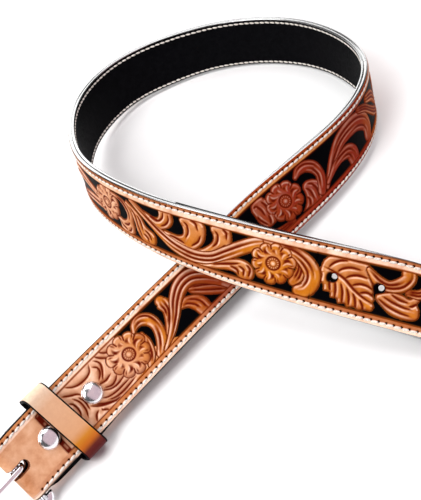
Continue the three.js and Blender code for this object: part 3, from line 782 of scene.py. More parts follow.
draw_field()
draw_borders()
antique()
mark_awl_holes()
mark_belt_holes()


def carved(layer, s, v):
    """A carving layer at places of the belt."""
    i = np.clip(np.asarray(s, float) / CELL, 0, GRID_S - 1.001)
    j = np.clip((np.asarray(v, float) + HALF) / CELL, 0, GRID_V - 1.001)
    a, b = i.astype(int), j.astype(int)
    x, y = i - a, j - b
    low = layer[a, b] * (1 - x) + layer[a + 1, b] * x
    high = layer[a, b + 1] * (1 - x) + layer[a + 1, b + 1] * x
    return low * (1 - y) + high * y


# Materials
def shade(r, g, b):
    """A screen colour of 0 to 255 as a linear one."""
    linear = [c / 255 / 12.92 if c < 11 else ((c / 255 + 0.055) / 1.055) ** 2.4 for c in (r, g, b)]
    return (*linear, 1.0)


class Nodes:
    """A short way to put the nodes of a tree together."""

    def add(self, kind, sockets=(), **settings):
        """A node with its settings, and its sockets linked or set to a value."""
        node = self.tree.nodes.new(kind)
        for key, value in settings.items():
            setattr(node, key, value)
        for key, value in dict(sockets).items():
            if isinstance(value, bpy.types.NodeSocket):
                self.tree.links.new(value, node.inputs[key])
            else:
                node.inputs[key].default_value = value
        return node

    def math(self, operation, a, b=0.0):
        """Arithmetic on two values, each a number or a socket."""
        return self.add("ShaderNodeMath", {0: a, 1: b}, operation=operation).outputs[0]


class Finish(Nodes):
    """A material. Values are set on its shader by socket name, with _ for a space."""

    def __init__(self, name, **values):
        self.material = bpy.data.materials.new(name)
        self.material.use_nodes = True
        self.tree = self.material.node_tree
        self.shader = self.tree.nodes["Principled BSDF"]
        for key, value in values.items():
            self.shader.inputs[key.replace("_", " ")].default_value = value

    def texture(self, kind, out, **values):
        """A texture that reads places on the object itself."""
        where = self.add("ShaderNodeTexCoord").outputs["Object"]
        return self.add(kind, {"Vector": where, **values}).outputs[out]

    def noise(self, scale, detail, rough=0.55):
        """Cloudy noise, from 0 to 1."""
        return self.texture("ShaderNodeTexNoise", "Fac", Scale=scale, Detail=detail, Roughness=rough)

    def pores(self, scale):
        """Small cells, dark in their middles."""
        return self.texture("ShaderNodeTexVoronoi", "Distance", Scale=scale)

    def attribute(self, name, out):
        """Values stored in the mesh."""
        return self.add("ShaderNodeAttribute", attribute_name=name).outputs[out]

    def ramp(self, factor, *stops):
        """Colours by a factor. Stops are rows of (factor, colour)."""
        node = self.add("ShaderNodeValToRGB", {"Fac": factor})
        while len(node.color_ramp.elements) < len(stops):
            node.color_ramp.elements.new(0.5)
        for element, (at, colour) in zip(node.color_ramp.elements, stops):
            element.position = at
            element.color = colour
        return node.outputs["Color"]

    def mix(self, factor, a, b):
        """From colour a to colour b by a factor."""
        return self.add("ShaderNodeMix", {0: factor, 6: a, 7: b}, data_type="RGBA").outputs[2]

    def colour(self, out):
        self.tree.links.new(out, self.shader.inputs["Base Color"])

    def roughness(self, out, low, high):
        """Sets the roughness from its least to its greatest by a factor."""
        ramp = self.ramp(out, (0.3, (low, low, low, 1)), (0.75, (high, high, high, 1)))
        self.tree.links.new(ramp, self.shader.inputs["Roughness"])

    def bump(self, height, strength, distance=0.0002):
        """Fine grain. The distance is in metres."""
        node = self.add("ShaderNodeBump", {"Height": height, "Strength": strength, "Distance": distance})
        self.tree.links.new(node.outputs["Normal"], self.shader.inputs["Normal"])


def tooled_leather():
    """Tan leather: antique stain in the cuts, black dye on the ground, pale leather with painted highlights,
    and painted shade.
    The carving's red is cuts with painted shade on their shaded slopes, its green dyed ground and its blue
    pale leather with painted highlights on the lit crests."""
    m = Finish("tooled_leather", Specular_IOR_Level=0.015)
    carving = m.add("ShaderNodeSeparateColor", {"Color": m.attribute("carving", "Color")}).outputs
    painted_shade = m.attribute("painted_shade", "Fac")
    light_tan, mid_tan, dark_tan = shade(208, 129, 26), shade(194, 111, 10), shade(172, 90, 6)
    tan = m.ramp(m.noise(110, 5, 0.6), (0.3, dark_tan), (0.5, mid_tan), (0.74, light_tan))
    grain = m.math("MULTIPLY", m.noise(1100, 3, 0.6), 0.14)
    tan = m.mix(grain, tan, shade(212, 150, 90))
    # Painted shade: the tan turns dark red by the painted-shade value
    tan = m.mix(m.math("MULTIPLY", painted_shade, 0.95), tan, shade(132, 24, 24))
    patchy = m.math("SUBTRACT", m.math("MULTIPLY", m.noise(110, 4, 0.6), 2.4), 0.3)
    pale_and_highlight = m.math("MULTIPLY", carving["Blue"], patchy)
    # Less painted highlight where shade is painted
    pale_and_highlight = m.math("MULTIPLY", pale_and_highlight, m.math("SUBTRACT", 1.0, m.math("MULTIPLY", painted_shade, 0.5)))
    tan = m.mix(pale_and_highlight, tan, shade(247, 212, 188))
    # Cut colour: antique stain in the cuts, and painted shade on the shaded slopes beside them
    stain_and_shade = m.mix(carving["Red"], shade(160, 66, 14), shade(96, 20, 6))
    tan = m.mix(m.math("POWER", carving["Red"], 0.7), tan, stain_and_shade)
    m.colour(m.mix(carving["Green"], tan, shade(2, 2, 4)))
    m.roughness(m.noise(420, 3, 0.5), 0.36, 0.52)
    m.bump(m.math("ADD", m.noise(1700, 3, 0.6), m.math("MULTIPLY", m.pores(900), 0.5)), 0.2)
    return m.material


def black_leather(name, low, high, specular, coat, grain, **more):
    """Black leather or edge paint, from its least to its greatest roughness."""
    m = Finish(name, Specular_IOR_Level=specular, Coat_Weight=coat, Coat_Roughness=0.12, **more)
    m.colour(m.ramp(m.noise(260, 5, 0.6), (0.35, shade(3, 3, 5)), (0.75, shade(9, 9, 12))))
    m.roughness(m.noise(500, 4, 0.6), low, high)
    m.bump(m.math("ADD", m.noise(1400, 4, 0.65), m.pores(1000)), grain)
    return m.material


def keeper_leather():
    """Plain tan leather with painted light across it: a painted highlight, cream, at its upper end, then
    tan, and gold and a dark painted shade at its lower end.
    """
    m = Finish("keeper_leather", Specular_IOR_Level=0.12)
    lit_to_shade = m.attribute("lit_to_shade", "Fac")
    cream, gold = shade(240, 228, 208), shade(198, 122, 0)
    tan = m.ramp(lit_to_shade, (0.06, cream), (0.22, shade(222, 178, 146)), (0.66, shade(214, 160, 118)),
                 (0.76, gold), (0.84, shade(184, 92, 0)), (0.9, shade(82, 4, 14)))
    clear = m.math("MULTIPLY", m.math("SUBTRACT", 1.0, lit_to_shade), 0.6)
    tan = m.mix(m.math("MULTIPLY", m.noise(520, 4, 0.7), clear), tan, shade(160, 92, 50))
    m.colour(m.mix(m.math("MULTIPLY", m.noise(120, 5, 0.6), clear), tan, shade(228, 182, 140)))
    m.roughness(m.noise(500, 3, 0.5), 0.4, 0.58)
    m.bump(m.math("ADD", m.noise(1800, 4, 0.6), m.math("MULTIPLY", m.pores(1000), 0.5)), 0.2)
    return m.material


def cut_leather():
    """Bare brown leather where the slot is cut."""
    m = Finish("cut_leather", Specular_IOR_Level=0.1)
    m.colour(m.ramp(m.noise(700, 5, 0.65), (0.3, shade(84, 34, 12)), (0.7, shade(150, 78, 34))))
    m.roughness(m.noise(500, 4, 0.6), 0.6, 0.8)
    m.bump(m.noise(1400, 4, 0.65), 0.3)
    return m.material


def chrome(name, low, high):
    """Polished plate, from its least to its greatest roughness."""
    m = Finish(name, Metallic=1.0)
    m.colour(m.ramp(m.noise(300, 3, 0.5), (0.3, shade(226, 226, 232)), (0.7, shade(240, 238, 240))))
    m.roughness(m.noise(700, 4, 0.6), low, high)
    m.bump(m.noise(260, 2, 0.5), 0.02, 0.0001)
    return m.material


def white_thread():
    """Twisted white thread, slightly grey between the plies."""
    m = Finish("white_thread", Specular_IOR_Level=0.3, Sheen_Weight=0.2)
    twist = m.noise(1500, 2, 0.5)
    m.colour(m.ramp(twist, (0.3, shade(196, 186, 174)), (0.6, shade(236, 230, 222))))
    m.roughness(twist, 0.5, 0.7)
    m.bump(twist, 0.3, 0.0001)
    return m.material


TOOLED = tooled_leather()
LINING = black_leather("black_lining", 0.5, 0.7, 0.03, 0.0, 0.25)
EDGE = black_leather("painted_edge", 0.16, 0.26, 1.0, 1.0, 0.02, IOR=2.5)
KEEPER_EDGE = black_leather("keeper_edge", 0.5, 0.7, 0.05, 0.0, 0.1)
KEEPER = keeper_leather()
CUT = cut_leather()
CHROME = chrome("buckle_chrome", 0.08, 0.14)
SNAP = chrome("snap_chrome", 0.17, 0.24)
THREAD = white_thread()


# Geometry trees
class Tree(Nodes):
    """A geometry node tree. Its inputs are kinds and values by name, with _ for a space."""

    def __init__(self, name, **inputs):
        self.tree = bpy.data.node_groups.new(name, "GeometryNodeTree")
        face = self.tree.interface
        face.new_socket("Geometry", in_out="INPUT", socket_type="NodeSocketGeometry")
        for key, (kind, value) in inputs.items():
            label = key.replace("_", " ")
            socket = face.new_socket(label, in_out="INPUT", socket_type="NodeSocket" + kind)
            if value is not None:
                socket.default_value = value
        face.new_socket("Geometry", in_out="OUTPUT", socket_type="NodeSocketGeometry")
        self.start = self.tree.nodes.new("NodeGroupInput").outputs
        self.end = self.tree.nodes.new("NodeGroupOutput").inputs

    def named(self, name, kind):
        node = self.add("GeometryNodeInputNamedAttribute", {"Name": name}, data_type=kind)
        return node.outputs["Attribute"]

    def vector(self, **sockets):
        return self.add("ShaderNodeCombineXYZ", sockets).outputs[0]

    def vectors(self, operation, sockets):
        return self.add("ShaderNodeVectorMath", sockets, operation=operation).outputs[0]

    def transformed(self, geometry, **sockets):
        return self.add("GeometryNodeTransform", {"Geometry": geometry, **sockets}).outputs["Geometry"]

    def cylinder(self, radius, depth):
        sockets = {"Vertices": 40, "Radius": radius, "Depth": depth}
        return self.add("GeometryNodeMeshCylinder", sockets).outputs["Mesh"]

    def real(self, instances):
        return self.add("GeometryNodeRealizeInstances", {"Geometry": instances}).outputs["Geometry"]

    def marked(self, geometry, mark):
        """Names all faces of a shape, so that a material can be set on them later."""
        sockets = {"Geometry": geometry, "Name": mark, "Value": True}
        kinds = {"data_type": "BOOLEAN", "domain": "FACE"}
        return self.add("GeometryNodeStoreNamedAttribute", sockets, **kinds).outputs["Geometry"]

    def less(self, geometry, *punches):
        """A shape with others cut out of it."""
        node = self.add("GeometryNodeMeshBoolean", operation="DIFFERENCE", solver="MANIFOLD")
        self.tree.links.new(geometry, node.inputs["Mesh 1"])
        for punch in punches:
            self.tree.links.new(punch, node.inputs["Mesh 2"])
        return node.outputs["Mesh"]

    def bent(self, geometry):
        """Flat work bent round the belt's line."""
        node = self.tree.nodes.new("GeometryNodeGroup")
        node.node_tree = BEND
        self.tree.links.new(geometry, node.inputs["Geometry"])
        self.tree.links.new(self.start["Belt Line"], node.inputs["Belt Line"])
        return node.outputs["Geometry"]

    def finish(self, geometry, *coats):
        """Makes instances real, and sets materials on the whole or on the faces that a mark names."""
        geometry = self.real(geometry)
        for material, mark in coats:
            sockets = {"Geometry": geometry, "Material": self.start[material]}
            if mark:
                sockets["Selection"] = self.named(mark, "BOOLEAN")
            geometry = self.add("GeometryNodeSetMaterial", sockets).outputs["Geometry"]
        self.tree.links.new(geometry, self.end["Geometry"])
        return self.tree


LINE_STEP = 1.0
PUNCH_DEPTH = 20.0
SLOT_DEPTH = 40.0
SLOT_BACK = 50.0
LEATHER_INPUTS = {"Belt_Line": ("Object", None), "Face_Leather": ("Material", None),
                  "Edge_Paint": ("Material", None)}
LEATHER_COATS = (("Face Leather", None), ("Edge Paint", "painted"))
# Length, width and height of a stitch, in metres
STITCH_SIZE = (0.0041, 0.0015, 0.0009)


def bend_tree():
    """Bends flat work (x along, y across, z out of the leather) round the belt's line."""
    tree = Tree("bend_along_belt", Belt_Line=("Object", None), Line_Step=("Float", LINE_STEP / 1000))
    belt = tree.add("GeometryNodeObjectInfo", {"Object": tree.start["Belt Line"]}).outputs["Geometry"]
    count = tree.add("GeometryNodeAttributeDomainSize", {"Geometry": belt}).outputs["Point Count"]
    position = tree.add("GeometryNodeInputPosition").outputs[0]
    flat = tree.add("ShaderNodeSeparateXYZ", {0: position}).outputs
    step = tree.math("DIVIDE", flat["X"], tree.start["Line Step"])
    low = tree.math("MAXIMUM", tree.math("FLOOR", step), 0.0)
    low = tree.math("MINIMUM", low, tree.math("SUBTRACT", count, 2.0))
    high = tree.math("ADD", low, 1.0)
    part = tree.math("SUBTRACT", step, low)
    kinds = {"data_type": "FLOAT_VECTOR", "clamp": True}
    found = []
    for value in (position, tree.named("across", "FLOAT_VECTOR"), tree.named("outward", "FLOAT_VECTOR")):
        ends = []
        for index in (low, high):
            sockets = {"Geometry": belt, "Value": value, "Index": index}
            ends.append(tree.add("GeometryNodeSampleIndex", sockets, **kinds).outputs[0])
        sockets = {0: part, 4: ends[0], 5: ends[1]}
        mix = tree.add("ShaderNodeMix", sockets, data_type="VECTOR", clamp_factor=False)
        found.append(mix.outputs[1])
    middle, across, outward = found
    across = tree.vectors("SCALE", {0: across, "Scale": flat["Y"]})
    outward = tree.vectors("SCALE", {0: outward, "Scale": flat["Z"]})
    at = tree.vectors("ADD", {0: tree.vectors("ADD", {0: middle, 1: across}), 1: outward})
    bent = tree.add("GeometryNodeSetPosition", {"Geometry": tree.start["Geometry"], "Position": at})
    tree.tree.links.new(bent.outputs["Geometry"], tree.end["Geometry"])
    return tree.tree


def layer_tree():
    """A layer of the strap or the keeper: bent, with its face's leather and its painted edges."""
    tree = Tree("belt_layer", **LEATHER_INPUTS)
    return tree.finish(tree.bent(tree.start["Geometry"]), *LEATHER_COATS)


def punched_tree():
    """A layer with a row of round belt holes punched through it before it is bent."""
    tree = Tree("punched_layer", **LEATHER_INPUTS, Hole_Count=("Int", len(HOLES)),
                Hole_Pitch=("Float", HOLE_PITCH / 1000), Hole_Radius=("Float", HOLE_RADIUS / 1000),
                First_Hole=("Float", HOLES[0] / 1000), Hole_Across=("Float", HOLE_V / 1000))
    first = tree.vector(X=tree.start["First Hole"], Y=tree.start["Hole Across"])
    pitch = tree.vector(X=tree.start["Hole Pitch"])
    sockets = {"Count": tree.start["Hole Count"], "Start Location": first, "Offset": pitch}
    row = tree.add("GeometryNodeMeshLine", sockets).outputs[0]
    punch = tree.cylinder(tree.start["Hole Radius"], PUNCH_DEPTH / 1000)
    placed = tree.add("GeometryNodeInstanceOnPoints", {"Points": row, "Instance": punch})
    punches = tree.real(placed.outputs["Instances"])
    punched = tree.less(tree.start["Geometry"], tree.marked(punches, "painted"))
    return tree.finish(tree.bent(punched), *LEATHER_COATS)


def slotted_tree():
    """The folded end, with the prong's slot cut through both its thicknesses: a round end and a bar that
    reaches back from it, a little less deep, so that their faces don't lie in one plane."""
    tree = Tree("slotted_layer", **LEATHER_INPUTS, Cut_Leather=("Material", None),
                Slot_Width=("Float", 2 * SLOT_RADIUS / 1000), Slot_Reach=("Float", SLOT_CENTRE / 1000))
    width, reach = tree.start["Slot Width"], tree.start["Slot Reach"]
    end = tree.cylinder(tree.math("DIVIDE", width, 2.0), SLOT_DEPTH / 1000)
    end = tree.transformed(end, Translation=tree.vector(X=reach))
    size = tree.vector(X=SLOT_BACK / 1000, Y=width, Z=(SLOT_DEPTH - 1) / 1000)
    bar = tree.add("GeometryNodeMeshCube", {"Size": size}).outputs["Mesh"]
    middle = tree.math("SUBTRACT", reach, SLOT_BACK / 2000)
    bar = tree.transformed(bar, Translation=tree.vector(X=middle))
    slotted = tree.less(tree.start["Geometry"], tree.marked(end, "slot"), tree.marked(bar, "slot"))
    return tree.finish(tree.bent(slotted), *LEATHER_COATS, ("Cut Leather", "slot"))


def stitch_tree():
    """One stitch at each point, along its row and a little across it, then bent with the belt."""
    tree = Tree("stitch_rows", Belt_Line=("Object", None), Thread=("Material", None),
                Stitch_Length=("Float", STITCH_SIZE[0]), Stitch_Width=("Float", STITCH_SIZE[1]),
                Stitch_Height=("Float", STITCH_SIZE[2]))
    points = tree.add("GeometryNodeMeshToPoints", {"Mesh": tree.start["Geometry"]}).outputs["Points"]
    sockets = {"Segments": 10, "Rings": 6, "Radius": 0.5}
    ball = tree.add("GeometryNodeMeshUVSphere", sockets).outputs["Mesh"]
    length, width, height = (tree.start["Stitch " + side] for side in ("Length", "Width", "Height"))
    stitch = tree.transformed(ball, Scale=tree.vector(X=length, Y=width, Z=height))
    stitch = tree.add("GeometryNodeSetShadeSmooth", {"Geometry": stitch}).outputs["Geometry"]
    along = {"Vector": tree.named("along", "FLOAT_VECTOR")}
    turn = tree.add("FunctionNodeAlignRotationToVector", along, axis="X").outputs[0]
    sockets = {"Points": points, "Instance": stitch, "Rotation": turn}
    placed = tree.add("GeometryNodeInstanceOnPoints", sockets).outputs["Instances"]
    return tree.finish(tree.bent(tree.real(placed)), ("Thread", None))


def belt_line():
    """The middle line of the belt as points, with the directions across it and out of it."""
    s = np.arange(0, BELT_END + 2, LINE_STEP)
    mesh = bpy.data.meshes.new("belt_line")
    mesh.vertices.add(len(s))
    mesh.vertices.foreach_set("co", (place(s, 0, 0) / 1000).ravel())
    _, across, outward = axes(s)
    for name, data in (("across", across), ("outward", outward)):
        layer = mesh.attributes.new(name, "FLOAT_VECTOR", "POINT")
        layer.data.foreach_set("vector", data.astype(np.float32).ravel())
    return linked("belt_line", mesh)


BEND = bend_tree()
LAYER = layer_tree()
PUNCHED = punched_tree()
SLOTTED = slotted_tree()
STITCHES = stitch_tree()
LINE = belt_line()


# Meshes
def mesh_of(name, points, faces, marks=None, flat=None, values=()):
    """A mesh from arrays: points in millimetres, faces of four corners, or of three with -1 last. Marks are
    the painted faces, flat the ones that are shaded flat, and values are rows of (name, one per point)."""
    mesh = bpy.data.meshes.new(name)
    faces = np.asarray(faces)
    count = (faces >= 0).sum(1)
    loops = faces[faces >= 0]
    mesh.vertices.add(len(points))
    mesh.vertices.foreach_set("co", (np.asarray(points, float) / 1000).ravel())
    mesh.loops.add(len(loops))
    mesh.loops.foreach_set("vertex_index", loops.astype(np.int32))
    mesh.polygons.add(len(faces))
    mesh.polygons.foreach_set("loop_start", np.concatenate([[0], np.cumsum(count)[:-1]]).astype(np.int32))
    mesh.update(calc_edges=True)
    rounded = np.ones(len(faces), bool) if flat is None else ~np.asarray(flat)
    mesh.polygons.foreach_set("use_smooth", rounded)
    if marks is not None:
        layer = mesh.attributes.new("painted", "BOOLEAN", "FACE")
        layer.data.foreach_set("value", np.asarray(marks, bool))
    for key, data in values:
        data = np.asarray(data, np.float32)
        if data.ndim == 2:
            mesh.color_attributes.new(key, "FLOAT_COLOR", "POINT").data.foreach_set("color", data.ravel())
        else:
            mesh.attributes.new(key, "FLOAT", "POINT").data.foreach_set("value", data)
    return mesh


def put(name, mesh, body, node=None):
    """A finished piece on its body and the CAD piece that it replaces."""
    piece = linked(name, mesh)
    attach(piece, body)
    if node:
        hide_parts(node)


def worked(name, flat_mesh, group, inputs, node=None):
    """Runs a tree on flat work and keeps the result as a plain piece of the belt."""
    flat = linked(name + "_flat", flat_mesh)
    modifier = flat.modifiers.new("work", "NODES")
    modifier.node_group = group
    sockets = {item.name: item.identifier for item in group.interface.items_tree if item.in_out == "INPUT"}
    for key, value in {"Belt Line": LINE, **inputs}.items():
        modifier[sockets[key]] = value
    bpy.context.view_layer.update()
    graph = bpy.context.evaluated_depsgraph_get()
    done = flat.evaluated_get(graph)
    mesh = bpy.data.meshes.new_from_object(done, preserve_all_data_layers=True, depsgraph=graph)
    mesh.name = name
    flat.modifiers.clear()
    bpy.data.objects.remove(flat)
    put(name, mesh, "belt", node)


def ring_faces(rows, count, loop=False):
    """Faces between rows of points that each go round in a ring."""
    row = np.arange(rows if loop else rows - 1)[:, None]
    j = np.arange(count)[None, :]
    here, after = row * count, (row + 1) % rows * count
    beside = (j + 1) % count
    return np.stack([here + j, here + beside, after + beside, after + j], -1).reshape(-1, 4)


def closed_sleeve(rings, painted_columns):
    """Rows of rings closed with a cap at each end: points, faces, painted marks and flat marks."""
    rows, count = rings.shape[:2]
    faces = ring_faces(rows, count)
    painted = np.asarray(painted_columns)[faces[:, 0] % count]
    near = np.array([[0, k + 1, k, -1] for k in range(1, count - 1)])
    far = np.array([[0, k, k + 1, -1] for k in range(1, count - 1)])
    far = np.where(far >= 0, far + (rows - 1) * count, -1)
    caps = np.ones(2 * len(near), bool)
    flat = np.concatenate([np.zeros(len(faces), bool), caps])
    return rings.reshape(-1, 3), np.vstack([faces, near, far]), np.concatenate([painted, caps]), flat


def tip_half(s):
    """Half the belt's width, which narrows in the tip."""
    t = np.clip((s - TIP_START) / TIP_LENGTH, 0, 0.9995)
    return HALF * np.sqrt(1 - t**2)


def folded(q):
    """The tooled layer at distances q along itself: it goes round the bar and comes back on the inside.
    Gives the place along, its middle's height, its turn, its shift across and its thickness."""
    bend = math.pi * FOLD_RADIUS
    turn = np.clip((BAR_S - q) / FOLD_RADIUS, 0, math.pi)
    back = np.clip(BAR_S - bend - q, 0, None)
    inside = np.where(turn < math.pi, BAR_S - FOLD_RADIUS * np.sin(turn), BAR_S + back)
    s = np.where(q >= BAR_S, q, inside)
    room = TURN_BACK_MEETS - BAR_S
    t = np.clip(back / room, 0, 1)
    low = BAR_N - FOLD_RADIUS
    rise = (TURN_BACK_N - low) * smooth(t)
    n = np.where(turn < math.pi, BAR_N + FOLD_RADIUS * np.cos(turn), low + rise)
    slope = (TURN_BACK_N - low) * 6 * t * (1 - t) / room
    turn = np.where(turn >= math.pi, math.pi - np.arctan(slope), turn)
    blend = smooth((q - BAR_S) / (LINING_START - BAR_S))
    n = np.where(q >= BAR_S, (FACE - FOLD_THICK / 2) * (1 - blend) + (FACE + SPLIT) / 2 * blend, n)
    thick = np.where(q >= BAR_S, FOLD_THICK * (1 - blend) + (FACE - SPLIT) * blend, FOLD_THICK)
    shift = TURN_BACK_SHIFT * smooth((BAR_S - q) / bend) + TURN_BACK_MORE * smooth((back - 3) / 9)
    shift = shift * (1 - smooth((s - TURN_BACK_STRAIGHTENS) / 50))
    return s, n, turn, np.where(q >= BAR_S, 0, shift), thick


def layer_point(q, v, out):
    """Flat place of a point of the tooled layer, "out" from its middle."""
    s, n, turn, shift, _ = folded(q)
    return np.stack(np.broadcast_arrays(s - out * np.sin(turn), v + shift, n + out * np.cos(turn)), -1)


# Painted shade on the tooled face, dark red along the stretches that lie in shade, rows of (along,
# strength): below the field's top, above it, and at the upper edge
PAINTED_SHADE = ((0, 0.0), (132, 0.0), (150, 0.7), (165, 0.9), (205, 0.85), (250, 1.0), (306, 1.0), (322, 0.4),
         (345, 0.35), (690, 0.4), (735, 0.25), (775, 0.0), (1105, 0.0))
UPPER_PAINTED_SHADE = ((0, 0.0), (275, 0.0), (288, 0.9), (312, 0.9), (324, 0.2), (690, 0.25), (760, 0.0),
               (1105, 0.0))
EDGE_PAINTED_SHADE = ((0, 0.0), (160, 0.0), (200, 0.8), (325, 0.8), (350, 0.2), (690, 0.2), (740, 0.0),
              (1105, 0.0))
EDGE_PAINTED_SHADE_FROM = 16.4
# The front's rounded edge, rows of (how far in from the edge, height over the face)
FRONT_EDGE = ((0.45, -0.42), (0.12, -0.6), (0.0, -0.9), (0.0, -1.5), (0.0, -3.0))
TOOLED_FROM = 4.0


def on_rings(values, count):
    """Values of the face's columns on whole rings, carried on to the points beside the face."""
    columns = values.shape[1]
    out = np.zeros((len(values), count, *values.shape[2:]))
    out[:, :columns] = values
    out[:, columns], out[:, -1] = values[:, -1], values[:, 0]
    return out


def front_piece(name, stations, columns, group, inputs):
    """A stretch of the tooled layer: carved face, rounded painted edges and a plain back."""
    stations = np.asarray(stations, float)
    q = np.repeat(stations[:, None], columns, 1)
    half = tip_half(stations)[:, None]
    tight = np.minimum(1, half / 4)
    v = np.linspace(-1, 1, columns)[None, :] * (half - 0.9 * tight)
    thick = folded(q)[4]
    clipped = np.clip(q, 0, BELT_END)
    tooled = q > TOOLED_FROM
    face = layer_point(q, v, thick / 2 + np.where(tooled, carved(relief, clipped, v), 0))
    one = stations[:, None]
    body = thick[:, :1]

    def rim(sign):
        """Rows of points round one edge, from the face to the back."""
        rows = []
        for inward, drop in FRONT_EDGE:
            out = np.maximum(body / 2 + drop, -body / 2)
            rows.append(layer_point(one, sign * (half - inward * tight), out))
        return rows

    base = [layer_point(one, f * (half - 0.5 * tight), -body / 2) for f in np.linspace(1, -1, 9)]
    rings = np.concatenate([face] + rim(1) + base + rim(-1)[::-1], axis=1)
    count = rings.shape[1]
    column_at = np.arange(count)
    points, faces, painted, flat = closed_sleeve(rings, (column_at >= columns) & (column_at < count - 1))
    layers = [(cut, 0), (ground, 0), (light, PLAIN_LIGHT)]
    carving = [np.where(tooled, carved(layer, clipped, v), plain) for layer, plain in layers]
    carving = on_rings(np.stack([*carving, np.ones(q.shape)], -1), count)
    # Painted shade, dark red along the stretches in shade, kept on the points for the material
    painted_shade = np.where(v > between(q, FIELD_TOP), between(q, UPPER_PAINTED_SHADE), between(q, PAINTED_SHADE))
    painted_shade = np.where(v > EDGE_PAINTED_SHADE_FROM, np.maximum(painted_shade, between(q, EDGE_PAINTED_SHADE)), painted_shade)
    values = (("carving", carving.reshape(-1, 4)), ("painted_shade", on_rings(painted_shade, count).ravel()))
    mesh = mesh_of(name, points, faces, painted, flat, values)
    worked(name, mesh, group, inputs, "strap_front")


def rounded_end(first, count):
    """Stations through the tip, closer together as it narrows."""
    return TIP_START + TIP_LENGTH * np.sin(np.radians(np.linspace(first, 88.5, count)))


FOLD_Q = BAR_S - math.pi * FOLD_RADIUS
FOLD_END = FOLD_Q - (TURN_BACK_END - BAR_S)
GLOSSY = {"Face Leather": TOOLED, "Edge Paint": EDGE}
DULL = {"Face Leather": TOOLED, "Edge Paint": KEEPER_EDGE}
# Step along and columns across, then the stretches between the fold and the tip
FINE = (0.36, 104)
COARSE = (0.5, 76)
STRETCHES = (
    ("front_buckle_side", 43.5, 175.3, FINE, DULL),
    ("front_turn", 175, 350.3, FINE, GLOSSY),
    ("front_far", 350, 690.3, COARSE, GLOSSY),
    ("front_near", 690, 900.3, FINE, GLOSSY),
)
fold_stations = np.concatenate([np.linspace(FOLD_END, FOLD_Q - 12, 30), np.arange(FOLD_Q - 11.5, 44, 0.5)])
tip_stations = np.concatenate([np.arange(900, TIP_START, 0.4), rounded_end(0.3, 90)])
front_piece("front_fold", fold_stations, 77, SLOTTED, {**DULL, "Cut Leather": CUT})
for name, start, stop, (step, columns), inputs in STRETCHES:
    front_piece(name, np.arange(start, stop, step), columns, LAYER, inputs)
front_piece("front_tip", tip_stations, 95, PUNCHED, GLOSSY)

# The lining's columns, its rounded edge, rows of (how far in from the edge, height), and its holes
LINING_COLUMNS = 61
LINING_TOP = SPLIT - 0.04
LINING_EDGE = ((0.4, -FACE + 0.03), (0.1, -FACE + 0.25), (0.0, -FACE + 0.6), (0.0, -1.1),
               (0.05, LINING_TOP))
LINING_HOLE_RADIUS = 1.6
LINING_HOLE_SHIFT = 0.4


def lining_piece():
    """The black lining, with shallow stitching grooves and rounded painted edges."""
    stations = np.concatenate([np.arange(LINING_START, TIP_START, 1.5), rounded_end(1.5, 40)])
    half = tip_half(stations)[:, None]
    tight = np.minimum(1, half / 4)
    one = stations[:, None]
    v = np.linspace(1, -1, LINING_COLUMNS)[None, :] * (half - 0.8 * tight)
    groove = 0.25 * (ridge(v - STITCH_V["upper"], 0.6) + ridge(v - STITCH_V["lower"], 0.6))

    def flat_rows(v, n):
        return np.stack(np.broadcast_arrays(one, v, n), -1)

    def rim(sign):
        return [flat_rows(sign * (half - inward * tight), n) for inward, n in LINING_EDGE]

    top = [flat_rows(f * (half - 0.5 * tight), LINING_TOP) for f in np.linspace(-1, 1, 5)]
    rings = np.concatenate([flat_rows(v, -FACE + groove)] + rim(-1) + top + rim(1)[::-1], axis=1)
    points, faces, painted, flat = closed_sleeve(rings, np.arange(rings.shape[1]) >= LINING_COLUMNS - 1)
    painted &= stations[faces[:, 0] // rings.shape[1]] < LINING_EDGE_WORN
    inputs = {"Face Leather": LINING, "Edge Paint": EDGE, "Hole Radius": LINING_HOLE_RADIUS / 1000,
              "Hole Across": (HOLE_V + LINING_HOLE_SHIFT) / 1000,
              "First Hole": (HOLES[0] + LINING_HOLE_SHIFT) / 1000}
    mesh = mesh_of("lining", points, faces, painted, flat)
    worked("lining", mesh, PUNCHED, inputs, "strap_lining")


lining_piece()

# Stitches: how far they slant and lie aside, how deep they sit, and where the lining's rows begin
STITCH_SLANT = 0.12
STITCH_ASIDE = 0.25
FRONT_SINK = 0.2
LINING_SINK = 0.25
LINING_ROWS_FROM = 80.0


def stitch_piece(name, rows, level):
    """The stitches between neighbouring awl holes of each row."""
    middles = np.vstack([(row[1:] + row[:-1]) / 2 for row in rows])
    ways = np.vstack([row[1:] - row[:-1] for row in rows])
    ways = ways / np.linalg.norm(ways, axis=1, keepdims=True)
    s, v = ways.T
    along = np.stack([s - STITCH_SLANT * v, v + STITCH_SLANT * s, 0 * s], 1)
    middles = middles + STITCH_ASIDE * np.stack([v, -s], 1)
    mesh = bpy.data.meshes.new(name)
    mesh.vertices.add(len(middles))
    flat = np.column_stack([middles, np.full(len(middles), level)]) / 1000
    mesh.vertices.foreach_set("co", flat.ravel())
    layer = mesh.attributes.new("along", "FLOAT_VECTOR", "POINT")
    layer.data.foreach_set("vector", along.astype(np.float32).ravel())
    worked(name, mesh, STITCHES, {"Thread": THREAD})


front_rows = stitch_holes()
lining_rows = [row[row[:, 0] > LINING_ROWS_FROM] for row in front_rows]
stitch_piece("stitches_front", front_rows, FACE - FRONT_SINK)
stitch_piece("stitches_lining", lining_rows, LINING_SINK - FACE)

# Keeper
KEEPER_S = 44.2
KEEPER_HALF_WIDE = 7.2
KEEPER_HALF = 24.3
KEEPER_LOW = -7.2
KEEPER_HIGH = 6.7
KEEPER_THICK = 1.9
KEEPER_CORNER = 4.0
KEEPER_SKEW = -1 / 12


